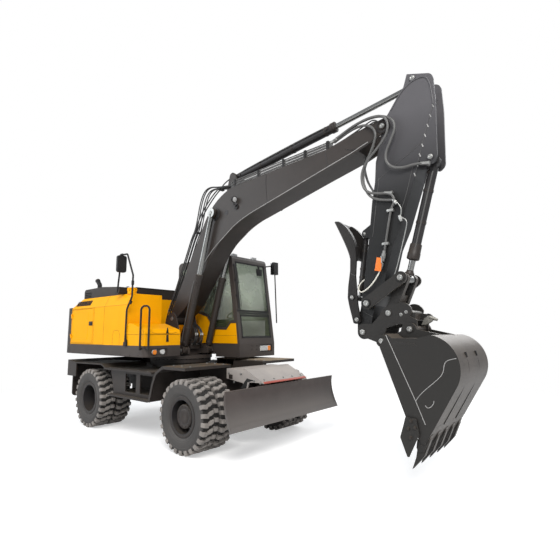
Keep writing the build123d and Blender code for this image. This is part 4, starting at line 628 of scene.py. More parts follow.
# ---------------------------------------------------------------- undercarriage
def add_chassis():
    """Bolts, lips, serrated treads, ring bolts, the cover's fold and strip, and wing plates' triangles."""
    bm = bmesh.new()
    for side in (-1, 1):
        for z, x0, x1 in ((1106, -530, 935), (666, -385, 800)):
            for i in range(int((x1 - x0) / 34)):
                x = x0 + 17 + i * 34
                add_block(bm, (x, side * 1262 - 1.5, z - 13), (x + 16, side * 1262 + 1.5, z + 9), 1.2)
            add_block(bm, (x0, side * 1246, z), (x1, side * 1259, z + 4), 1)
            for y in (1170, 1080, 990, 900):
                add_block(bm, (x0 + 20, side * y - 6, z), (x1 - 20, side * y + 6, z + 4), 1)
    for side in (-1, 1):
        for y in (1150, 700):
            add_block(bm, (1240, side * y - 5, 1214.5), (1785, side * y + 5, 1218), 1)
        add_plate(bm, [(1905, 1010), (1985, 1010), (1985, 1075), (1905, 1075)], side * 520, side * 526,
                  bevel=2)
        triangle = [(2120, 850), (2290, 1040), (2440, 1015), (2300, 985), (2268, 850)]
        add_plate(bm, triangle, side * 519, side * 522.5, bevel=1, index=1)
        add_plate(bm, [(2112, 790), (2170, 798), (2170, 832), (2112, 832)], side * 519, side * 521.5,
                  bevel=1, index=1)
    finish_mesh("chassis_trim", "chassis", "dark_paint", bm, [DARK, DARK_VOID])
    bm = bmesh.new()
    for x0, x1, y1, low, high, bevel, ribs, first in (
            (955, 1788, 1262, 1214.5, 1219, 1.2, 26, 975), (345, 950, 1260, 1209, 1218, 1.5, 19, 360)):
        add_plate(bm, [(x0, 560), (x1, 560), (x1, y1), (x0, y1)], low, high, "Z", bevel)
        for i in range(ribs):
            x = first + i * 31
            add_block(bm, (x, 580, high - 0.5), (x + 9, 1240, high + 2.5), 1)
    add_block(bm, (960, 1150, 1060), (1050, 1240, 1215), 4)
    for x in (352, 640, 932):
        add_block(bm, (x, 600, 1107), (x + 12, 1252, 1210), 1.5, 1)
    add_block(bm, (352, 1240, 1107), (944, 1252, 1210), 1.5, 1)
    finish_mesh("step_plate_left", "chassis", "dark_paint", bm, [STEP_PLATE, DARK])
    places = []
    for side in (-1, 1):
        for x, z in ((2020, 965), (2165, 1095), (1905, 1095), (2440, 1010), (2560, 985)):
            places.append(((x, side * 520, z), (0, side, 0), 1.5))
        places += [((x, side * y, 1215), (0, 0, 1), 1.3) for x in (1330, 1530, 1730) for y in (1130, 480)]
        places += [((x, side * 1240, 1106), (0, 0, 1), 1.1) for x in (-350, -60, 230, 520, 810)]
    places += ring_places(48, (0, 0), 536, 1235, (0, 0, 1), 1.1)
    add_bolts("chassis_bolts", "chassis", "dark_paint", FITTING, places)
    bm = bmesh.new()
    slope = COVER_SLOPE
    x, z = COVER_FOOT
    lip = [(x - 26, z + 26 * slope + 0.5), (x + 2, z - 1), (x + 2, z - 12), (x - 26, z + 26 * slope - 11)]
    add_plate(bm, lip, -505, 505, bevel=1.5)
    finish_mesh("cover_strip", "chassis", "pale_paint", bm, [RED_STRIP])
    bm = bmesh.new()
    x, z = COVER_FOOT[0] - 110, COVER_FOOT[1] + 110 * slope
    fold = [(x - 14, z + 14 * slope), (x, z + 4), (x + 80, z - 80 * slope + 4),
            (x + 80, z - 80 * slope - 3), (x, z - 4)]
    add_plate(bm, fold, -512, 512, bevel=1.5)
    add_plate(bm, [(2262, 1172), (2250, 1180), (2206, 1182), (2206, 1172)], -515, 515, bevel=2)
    finish_mesh("cover_fold", "chassis", "pale_paint", bm)
    normal = Vector((slope, 0, 1)).normalized()
    places = [((2560, y, COVER_FOOT[1] + 60 * slope + 3.5), normal, 1.6) for y in (-440, -220, 0, 220, 440)]
    add_bolts("cover_bolts", "chassis", "bright_rod", FITTING, places)
    hoses = [[(1885, y, 900), (1960, y, 905), (2040, y * 0.9, 870), (2100, y * 0.72, 820),
              (2160, y * 0.6, 800)] for y in (-300, -260, 260, 300)]
    run_curves("chassis_hoses", "chassis", "black_trim", RUBBER, 11, hoses)
    bm = bmesh.new()
    for y0, y1 in ((-1182, -1058), (1058, 1182)):
        for index, (z0, z1) in enumerate(((1020, 1072), (1078, 1122))):
            add_plate(bm, [(y0, z0), (y1, z0), (y1, z1), (y0, z1)], -2112, -2109, "X", 1.2, index)
    finish_mesh("rear_lenses", "chassis", "lamp_lens", bm, [RED_LENS, AMBER_LENS])


def add_blade():
    """Edge bands, the cutting edge, its bolts and the blade's stiffeners."""
    bm = bmesh.new()
    curve = []
    for t in [i / 12 for i in range(13)]:
        x, z = [(1 - t) * (1 - t) * a + 2 * t * (1 - t) * b + t * t * c
                for a, b, c in ((2640, 2593, 2745), (956, 757, 450))]
        curve.append((x, z))
    band = [(x - 2, z) for x, z in curve] + [(x - 30, z) for x, z in curve[::-1]]
    for low, high in ((-1263, -1247), (1247, 1254.6)):
        add_plate(bm, band, low, high, bevel=1.5)
    edge = [(2745, 450), (2717, 522), (2713, 521), (2737, 450)]
    add_plate(bm, edge, -1252, 1252, bevel=1.0)
    for y in (-860, -560, 560, 860):
        add_plate(bm, [(2560, 620), (2600, 610), (2602, 790), (2560, 760)], y - 8, y + 8, bevel=1.5)
    finish_mesh("blade_edges", "blade", "earth_paint", bm)
    places = [((2706, -1120 + i * 280, 470), (-1, 0, -0.4), 1.8) for i in range(9)]
    add_bolts("blade_bolts", "blade", "earth_paint", DARK, places)
    lines = [[(2598, side * 1251, 930), (2590, side * 1251, 800), (2594, side * 1251, 740),
              (2650, side * 1251, 600)] for side in (-1, 1)]
    run_curves("blade_welds", "blade", "earth_paint", FINISH["earth_paint"], 4, lines)


# ---------------------------------------------------------------- upper body
def flank_y(z):
    """How far from the middle plane the hood's leaning flank stands at a height."""
    return BODY_HALF - BODY_LEAN * (z - BODY_TOP)


def draw_seams(name, body, radius, lines):
    """Dark gaps between panels."""
    run_curves(name, body, "yellow_paint", DARK_VOID, radius, lines, poly=True, sides=1)


def add_body():
    """Panel seams, latches, louvres, filler cap, rail clamps, a mirror, and tail and hood details."""
    outer = BODY_HALF + 0.4
    lines = []
    for side in (-1, 1):
        y = side * outer
        lines.append([(-1945, y, 2200), (-620, y, 2200)])
        lines.append([(-1000, y, 1515), (-1000, y, 2196)])
        lines.append([(-1945, y, 1512), (-640, y, 1512)])
        lines.append([(-1935, y, 2130), (-1935, y, 2196)])
    y = -outer
    lines.append([(-618, y, 1512), (-618, y, 2200), (-618, y + 100, 2401)])
    lines.append([(152, y + 6, 1512), (152, y + 6, 1875)])
    lines.append([(-600, y, 2200), (148, y, 2200)])
    lines.append([(158, y + 5.6, 1692), (728, y + 5.6, 1692)])
    lines.append(at_y(y, (-280, 1512), (-280, 1700), (-240, 1760), (-90, 1760), (-50, 1700), (-50, 1512)))
    for z in (1700, 1950):
        lines.append([(-1990, -1259, z), (-2010, -1262, z)])
    draw_seams("body_seams", "upper", 1.6, lines)
    x = 732.8
    draw_seams("toolbox_seam", "upper", 1.6, [[(x, -1258, 1688), (x, -946, 1688)],
                                              [(x, -946, 1688), (x, -600, 1688)]])
    bm = bmesh.new()
    for side in (-1, 1):
        y = side * BODY_HALF
        add_block(bm, (-1190, y, 1862), (-1050, y + side * 7, 1938), 3)
        add_block(bm, (-1165, y, 1882), (-1085, y + side * 12, 1916), 4)
    finish_mesh("door_latches", "upper", "black_trim", bm)
    bm = bmesh.new()
    for side in (-1, 1):
        for z in (2262, 2284, 2306, 2328):
            y = side * (flank_y(z) - 13)
            add_block(bm, (-1818, y - 3, z), (-1242, y + 3, z + 10), 0.5)
        face = [(side * (flank_y(z) + out), z)
                for z, out in ((2252, 1.5), (2252, 4.5), (2348, 4.5), (2348, 1.5))]
        for x0, x1 in ((-1832, -1820), (-1240, -1228)):
            add_plate(bm, face, x0, x1, "X", 0.8)
        for z in (2252, 2273, 2295, 2317, 2340):
            low, high = flank_y(z), flank_y(z + 9)
            strip = [(low + 1, z), (low + 5, z + 1), (high + 3, z + 10), (high, z + 10)]
            add_plate(bm, [(side * y, z) for y, z in strip], -1824, -1236, "X", 0.8)
    finish_mesh("louvre_shadows", "upper", "black_trim", bm, [DARK_VOID])
    bm = bmesh.new()
    add_turned(bm, (60, -1130, 2485), (0, 0, 1),
               [(-4, 78), (2, 79), (14, 79), (20, 72), (22, 30), (30, 26), (30, 0)])
    for (x, y, _), _, _ in ring_places(10, (60, -1130), 78, 0, None, 1):
        add_block(bm, (x - 5, y - 5, 2446), (x + 5, y + 5, 2500), 2)
    add_block(bm, (-560, -1120, 2400), (-60, -640, 2405), 2)
    for x in (-500, -420, -340, -260, -180, -100):
        add_block(bm, (x, -1100, 2405), (x + 24, -660, 2409), 1.5)
    finish_mesh("tank_top", "upper", "yellow_paint", bm)
    bm = bmesh.new()
    add_block(bm, (150, -1280, 1507), (205, -1262, 1600), 4)
    add_plate(bm, [(128, 1507), (222, 1507), (192, 1600), (182, 1720), (168, 1720), (158, 1600)], -1290,
              -1272, bevel=3)
    add_turned(bm, (300, -1286, 2228), (0.55, 0, 0.8), [(-26, 19), (-22, 22), (22, 22), (26, 19)], 20)
    add_turned(bm, (338, -1286, 2560), (0, 0, 1), [(-38, 17), (-34, 23), (34, 23), (38, 17)], 20)
    add_turned(bm, (-60, -1286, 3088), (1, 0, 0), [(-30, 18), (-26, 24), (26, 24), (30, 18)], 20)
    add_block(bm, (-84, -1320, 3040), (-36, -1262, 3082), 5)
    finish_mesh("rail_clamps", "upper", "black_trim", bm)
    bm = bmesh.new()
    face = [(-1363, 2795), (-1349, 2781), (-1223, 2781), (-1209, 2795), (-1209, 3055), (-1223, 3069),
            (-1349, 3069), (-1363, 3055)]
    add_plate(bm, face, -87, -84.5, "X", 1)
    finish_mesh("mirror_glass", "upper", "lamp_lens", bm, [MIRROR])
    bm = bmesh.new()
    for z in (1500, 1760, 2020):
        add_block(bm, (-2649.5, -560, z), (-2645, 560, z + 6), 2)
    for y in (-330, 330):
        add_turned(bm, (-2300, y, 2230), (0, 0, 1),
                   [(-2, 60), (4, 60), (10, 52), (10, 30), (3, 26), (3, 0)], 28)
    finish_mesh("tail_details", "upper", "dark_paint", bm)
    tail = []
    for z in (1420, 2150):
        ring = [(-1960, -1268.4, z)]
        for i in range(13):
            angle = pi / 2 * i / 12
            ring.append((-1951 - 699 * sin(angle), -569 - 699.6 * cos(angle), z))
        ring += [(-2650.4, 0, z)]
        ring += [(x, -y, z) for x, y, z in ring[-2::-1]]
        tail.append(ring)
    run_curves("tail_lines", "upper", "dark_paint", DARK_VOID, 1.8, tail, poly=True, sides=1)
    bm = bmesh.new()
    add_turned(bm, (-1900, -750, 2630), (0, 0, 1), [(0, 70), (6, 70), (10, 62), (10, 47)], 28)
    add_turned(bm, (-2008, -750, 2848), (-0.72, 0, 0.69),
               [(-30, 47), (-26, 50), (2, 50), (2, 43), (-26, 41)], 28)
    for x in (-1450, -1150, -850):
        add_block(bm, (x - 90, -560, 2628), (x + 90, 560, 2636 if x < -1200 else 2622), 3)
    for i in range(11):
        y = -500 + i * 100
        add_block(bm, (-2065, y - 36, 2330), (-2059, y + 36, 2500), 2, 1)
    for y in (-820, 800):
        add_block(bm, (-700, y, 2600), (-645, y + 40, 2612), 3)
    finish_mesh("hood_details", "engine_hood", "dark_paint", bm, [DARK, DARK_VOID])
    bm = bmesh.new()
    for side in (-1, 1):
        for z in (2290, 2325, 2360, 2395, 2430, 2465, 2500, 2535):
            front = min(-1740, -2015 + 1.62 * (z - 2236))
            add_block(bm, (-2018, side * 972 - 2, z + 1), (front - 2, side * 972 + 2, z + 15), 0.5)
    finish_mesh("hood_slot_shadows", "engine_hood", "black_trim", bm, [DARK_VOID])
    for side, word in ((-1, "right"), (1, "left")):
        y = side * outer
        rim = at_y(y, (-1915, 1540), (-1045, 1540), (-1045, 2175), (-1915, 2175), (-1915, 1540))
        press = at_y(y, (-1820, 2130), (-1270, 2130), (-1240, 2100), (-1240, 1640), (-1270, 1610),
                     (-1820, 1610), (-1850, 1640), (-1850, 2100), (-1820, 2130))
        run_curves("door_press_" + word, "engine_door_" + word, "yellow_paint", FINISH["yellow_paint"], 3.2,
                   [press], poly=True, sides=2)
        draw_seams("door_rim_" + word, "engine_door_" + word, 1.3, [rim])
    seam = [(733.5, y, z) for y, z in (
        (-1135, 1728), (-1100, 1712), (-1040, 1702), (-760, 1702), (-700, 1712), (-660, 1728))]
    draw_seams("lid_seams", "toolbox_lid", 1.8, [seam])
    bm = bmesh.new()
    latch = [(-868, 1708), (-852, 1790), (-844, 1806), (-836, 1790), (-822, 1708)]
    add_plate(bm, latch, 728, 741, "X", 2.5)
    finish_mesh("lid_latch", "toolbox_lid", "black_trim", bm)
    bm = bmesh.new()
    add_plate(bm, [(-872, 1566), (-864, 1578), (-862, 1682), (-822, 1682), (-820, 1578), (-808, 1566)], 729,
              738, "X", 2)
    finish_mesh("latch_keeper", "upper", "black_trim", bm)


def add_deck():
    """Lamps in the skirt, band and roof, bolts, a hydraulic block and its hoses up to the boom."""
    bm = bmesh.new()
    for y, index in ((-1080, 0), (-925, 1)):
        add_turned(bm, (735, y, 1402.5), (1, 0, 0), [(0, 40), (3, 38), (4.6, 20), (5, 0)], 28, index)
        add_turned(bm, (732, y, 1402.5), (1, 0, 0), [(0, 42), (5.5, 42), (6.6, 39), (4, 38)], 28, 2)
    finish_mesh("skirt_lenses", "upper", "lamp_lens", bm, [AMBER_LENS, CLEAR_LENS, CHROME])
    bm = bmesh.new()
    for y0, y1, index in ((909, 1079, 0), (1101, 1187, 1)):
        add_plate(bm, [(y0 + 8, 1368), (y1 - 8, 1368), (y1 - 2, 1376), (y1 - 2, 1448), (y1 - 8, 1456),
                       (y0 + 8, 1456), (y0 + 2, 1448), (y0 + 2, 1376)], 1265.5, 1268.6, "X", 1, index)
    for i in range(6):
        y = 925 + i * 28
        add_block(bm, (1267, y, 1378), (1269.4, y + 3, 1446), 0.4, 2)
    finish_mesh("band_lenses", "upper", "lamp_lens", bm, [CLEAR_LENS, AMBER_LENS, CHROME])
    bm = bmesh.new()
    for y in (540, 1090):
        add_plate(bm, [(y - 48, 3200), (y + 48, 3200), (y + 48, 3242), (y - 48, 3242)], 924.5, 927.5, "X",
                  1.2)
    finish_mesh("roof_lenses", "upper", "lamp_lens", bm, [CLEAR_LENS])
    bm = bmesh.new()
    add_block(bm, (320, -150, 1418), (470, 70, 1560), 6)
    add_block(bm, (340, -130, 1560), (450, 50, 1600), 4)
    for y in (-112, -72, -8, 32):
        add_turned(bm, (470, y, 1500), (1, 0, 0.2), [(0, 17), (20, 17), (24, 13), (36, 13)], 12, 1)
    finish_mesh("hose_block", "upper", "dark_paint", bm, [DARK, FITTING])
    swing = [[(500, y, 1509), (560, y, 1545), (570, y * 0.96, 1650), (545, y * 0.9, 1760),
              (455, y * 0.85, 1840), (330, y * 0.8 - 8, 1900)] for y in (-125, -85, 5, 45)]
    bend_hoses("swing_hoses", RUBBER, 13, swing)
    ends = [[(579, y, 1668), (569, y, 1710)] for y in (-118, -79, 4, 42)]
    run_curves("hose_fittings", "upper", "bright_rod", FITTING, 17, ends, poly=True)
    places = ring_places(40, (0, 0), 555, 1242, (0, 0, -1), 1.1)
    places += [((x, -1270, 1350), (0, -1, 0), 0.9) for x in (-1800, -1500, -1200, -900, -300, 0, 300, 560)]
    places += [((1269.6, y, z), (1, 0, 0), 1.0) for z in (1398, 1466) for y in (657, 789)]
    add_bolts("upper_bolts", "upper", "dark_paint", DARK, places)


def pane_x(z):
    """How far forward the cab's leaning front panes stand at a height."""
    return 1270 - 230 / 1610 * (z - 1510)


def front_strip(bm, outline, proud, deep):
    """An outline of YZ points laid along the front panes, standing proud and reaching deep."""
    add_prism(bm, *[[mm(pane_x(z) + offset, y, z) for y, z in outline] for offset in (proud, -deep)])


def trim_lines(name, body, radius, lines):
    """Straight runs of black rubber seal."""
    run_curves(name, body, "black_trim", BLACK, radius, lines, poly=True)


def add_cab():
    """Pane seals with rounded corners, the split bar, clips, wiper, mirrors, handles and roof details."""
    bm = bmesh.new()
    for y0, y1, z0, z1 in ((405, 1225, 1610, 2050), (405, 1225, 2100, 3070)):
        for u0, u1, w0, w1 in ((y0, y0 + 34, z0, z1), (y1 - 34, y1, z0, z1), (y0, y1, z0, z0 + 34),
                               (y0, y1, z1 - 34, z1)):
            front_strip(bm, ((u0, w0), (u1, w0), (u1, w1), (u0, w1)), 2.5, 3)
        for y, z, sy, sz in ((y0, z0, 1, 1), (y1, z0, -1, 1), (y0, z1, 1, -1), (y1, z1, -1, -1)):
            angles = [pi / 2 * i / 6 for i in range(7)]
            curve = [(y + sy * (110 - 110 * sin(a)), z + sz * (110 - 110 * cos(a))) for a in angles]
            front_strip(bm, [(y, z)] + curve, 2, 2)
    finish_mesh("pane_seals", "upper", "black_trim", bm, [DARK_VOID])
    window = [(-480, 2150), (-480, 3040), (940, 3040), (1120, 1935), (1025, 1935), (905, 1815), (565, 1825),
              (375, 2070), (90, 2150), (-480, 2150)]
    trim_lines("side_seal", "upper", 9, [at_y(342, *window), at_y(342, (-200, 2150), (-200, 3040))])
    left = [(-480, 2000), (-480, 3040), (90, 3040), (90, 2000), (-480, 2000)]
    rear = [(-585, y, z) for y, z in ((430, 2060), (1200, 2060), (1200, 3045), (430, 3045), (430, 2060))]
    trim_lines("left_seal", "upper", 9, [at_y(1288, *left), rear])
    door = [(230, 2060), (230, 2980), (918, 2980), (1054, 2060), (230, 2060)]
    low = [(230, 1560), (230, 1960), (1060, 1960), (1060, 1620), (995, 1560), (230, 1560)]
    trim_lines("door_seals", "cab_door", 8, [at_y(1290, *door), at_y(1290, *low)])
    bm = bmesh.new()
    for z in (2990, 2700, 2400, 2120):
        x = pane_x(z)
        add_block(bm, (x - 20, 346, z - 24), (x + 4, 396, z + 24), 4)
    add_block(bm, (pane_x(2075) - 8, 396, 2060), (pane_x(2075) + 4, 1234, 2092), 5)
    finish_mesh("pillar_clips", "upper", "black_trim", bm)
    wiper = [(pane_x(z) + proud, y, z)
             for proud, y, z in ((8, 372, 3000), (10, 376, 2700), (10, 380, 2400), (8, 384, 2160))]
    run_curves("wiper_arm", "upper", "black_trim", BLACK, 9, [wiper])
    blade = [(pane_x(2900) + 6, 450, 2880), (pane_x(2200) + 6, 470, 2200)]
    stay = [(pane_x(2700) + 8, 378, 2700), (pane_x(2640) + 8, 455, 2640)]
    run_curves("wiper_blade", "upper", "black_trim", RUBBER, 5, [blade, stay], poly=True)
    bm = bmesh.new()
    add_block(bm, (1066, 985, 2800), (1078, 1150, 2985), 5)
    add_block(bm, (1050, 1040, 2980), (1066, 1085, 3060), 4)
    finish_mesh("inside_mirror", "upper", "black_trim", bm)
    bm = bmesh.new()
    add_block(bm, (150, 1300, 1990), (300, 1309, 2050), 4)
    add_block(bm, (175, 1309, 2005), (275, 1318, 2035), 5)
    finish_mesh("door_handle", "cab_door", "black_trim", bm)
    rail = [(300, y, z) for y, z in (
        (1299, 1640), (1330, 1650), (1338, 1700), (1338, 2250), (1330, 2300), (1299, 2310))]
    run_curves("door_rail", "cab_door", "black_trim", BLACK, 11, [rail])
    bm = bmesh.new()
    add_block(bm, (-380, 480, 3190), (420, 1150, 3204), 6)
    for x in (-300, -100, 100, 300):
        add_block(bm, (x - 20, 520, 3204), (x + 20, 1110, 3210), 3)
    add_block(bm, (-560, 380, 3183), (-470, 1250, 3196), 5)
    for y in (540, 1090):
        add_block(bm, (848, y - 30, 3188), (880, y + 30, 3204), 3)
    finish_mesh("roof_details", "upper", "dark_paint", bm)
    bm = bmesh.new()
    add_block(bm, (1268.6, 640, 1380), (1269.9, 806, 1484), 1)
    add_block(bm, (1176, 1298, 2888), (1188, 1382, 3132), 5, 1)
    finish_mesh("cab_plate", "upper", "dark_paint", bm, [BLACK, MIRROR])
    y = 321.4
    panels = [[(-540, y, 1660), (1195, y, 1660)], [(488, y, 1780), (488, y, 1660)],
              [(80, y, 2105), (80, y, 1520)]]
    draw_seams("side_panel_lines", "upper", 1.5, panels)
    rim = at_y(y, (-550, 2110), (80, 2110), (360, 2030), (550, 1780), (920, 1770), (1040, 1890),
               (1170, 1890))
    trim_lines("side_panel_rim", "upper", 4, [rim])


def add_pad(name, point_at):
    """A crowned cushion with sewn channels: a grid above and one below, joined round their edges."""
    bm = bmesh.new()
    count = 12
    steps = range(count + 1)
    grid = [[[bm.verts.new(point_at(layer, i / count * 2 - 1, j / count * 2 - 1)) for j in steps]
             for i in steps] for layer in (0, 1)]
    for rows in grid:
        for i in range(count):
            for j in range(count):
                bm.faces.new((rows[i][j], rows[i + 1][j], rows[i + 1][j + 1], rows[i][j + 1]))
    edge = [(0, j) for j in range(count)] + [(i, count) for i in range(count)]
    edge += [(count, j) for j in range(count, 0, -1)] + [(i, 0) for i in range(count, 0, -1)]
    for (i, j), (m, n) in zip(edge, edge[1:] + edge[:1]):
        bm.faces.new((grid[0][i][j], grid[0][m][n], grid[1][m][n], grid[1][i][j]))
    bmesh.ops.remove_doubles(bm, verts=bm.verts, dist=0.0004)
    bmesh.ops.subdivide_edges(bm, edges=bm.edges, cuts=1, use_grid_fill=True, smooth=0.4)
    pad = finish_mesh(name, "upper", "black_trim", bm, [FABRIC], sharp=80)


def pad_form(u, v, swell, rise):
    """How thick a pad is either side of its middle, and how far its sides pull in."""
    crown = (1 - u ** 4) * (1 - v ** 4)
    pinch = 1 - 0.05 * (abs(u) ** 6 * (1 - v * v) + abs(v) ** 6 * (1 - u * u))
    channel = 0.12 * (abs(abs(v) - 0.55) < 0.09)
    return swell * crown ** 0.35 * (1 - channel) + rise * crown, pinch


def cushion_point(layer, u, v):
    """A point of the seat's cushion, above or below."""
    thick, pinch = pad_form(u, v, 55, 14)
    return mm(-18 + 235 * u * pinch, SEAT_Y + 235 * v * pinch, 1838 + (thick if layer else -0.72 * thick))


def back_point(layer, u, v):
    """A point of the seat's leaning back, ahead or behind."""
    thick, pinch = pad_form(u, v, 48, 12)
    ahead = thick if layer else -thick
    return mm(-228 - 95 * (u + 1) + ahead, SEAT_Y + 225 * v * pinch * (1 - 0.06 * (u + 1)),
              2240 + 340 * u * pinch)


def add_cab_inside():
    """A seat and its back, arm consoles with levers, a steering column and wheel, pedals and a floor mat."""
    middle = SEAT_Y
    add_pad("seat_cushion", cushion_point)
    add_pad("seat_back", back_point)
    bm = bmesh.new()
    add_block(bm, (-200, middle - 215, 1745), (190, middle + 215, 1778), 12)
    add_block(bm, (-120, middle - 150, 1405), (160, middle + 150, 1745), 16)
    for side in (-1, 1):
        y = middle + side * 330
        outline = [(-200, 1745), (300, 1745), (328, 1800), (310, 1930), (240, 1955), (-160, 1950),
                   (-200, 1900)]
        add_plate(bm, outline, y - 58, y + 58, bevel=10)
        add_turned(bm, (235, y, 1950), (0.15, 0, 1),
                   [(0, 34), (12, 30), (26, 16), (34, 9), (96, 9), (104, 19), (140, 24), (172, 20),
                    (182, 0)], 20)
    add_plate(bm, [(-356, 2560), (-300, 2590), (-318, 2600), (-390, 2575)], middle - 150, middle + 150,
              bevel=5)
    add_turned(bm, (545, middle, 1410), (0.22, 0, 1),
               [(0, 60), (30, 44), (560, 32), (640, 34), (682, 30), (686, 0)], 24)
    wheel_axis = Vector((-0.45, 0, 1)).normalized()
    centre = (690, middle, 2080)
    ring = [(-13, 190), (-9, 199), (0, 203), (9, 199), (13, 190), (9, 181), (0, 177), (-9, 181), (-13, 190)]
    add_turned(bm, centre, wheel_axis, ring, 40)
    add_turned(bm, centre, wheel_axis, [(-22, 30), (-10, 46), (8, 46), (14, 38), (14, 0)], 24)
    for side in (-1, 1):
        add_block(bm, (672, middle + side * 40, 2072), (706, middle + side * 182, 2084), 5)
        add_block(bm, (700, middle + side * 120 - 45, 1420), (860, middle + side * 120 + 45, 1436), 5)
    add_block(bm, (-520, 420, 1402), (1150, 1210, 1410), 4)
    add_block(bm, (880, 430, 1700), (960, 560, 1900), 10)
    finish_mesh("cab_fittings", "upper", "black_trim", bm, replaced=["cab_seat"])


# ---------------------------------------------------------------- digging gear
def pin_head(bm, point, y, side, radius, index=0):
    """A silver pin head with a chamfered face, at an XZ point and a Y face."""
    inner = radius * 0.62
    profile = [(-2, inner + 8), (3, inner + 8), (4, inner + 6), (4, inner), (11, inner - 2),
               (13, inner - 5), (10, inner * 0.5), (10, 0)]
    add_turned(bm, (point[0], y, point[1]), (0, side, 0), profile, 28, index)


def pin_pairs(bm, places, index=0):
    """Heads on both ends of pins: each place is an XZ point, half the pin's length and a radius."""
    for point, half, radius in places:
        for side in (-1, 1):
            pin_head(bm, point, GEAR_Y + side * half, side, radius, index)


def draw_welds(name, body, slot, finish, radius, lines):
    """Beads and raised lines, smooth along their length."""
    run_curves(name, body, slot, finish, radius, lines, sides=2)


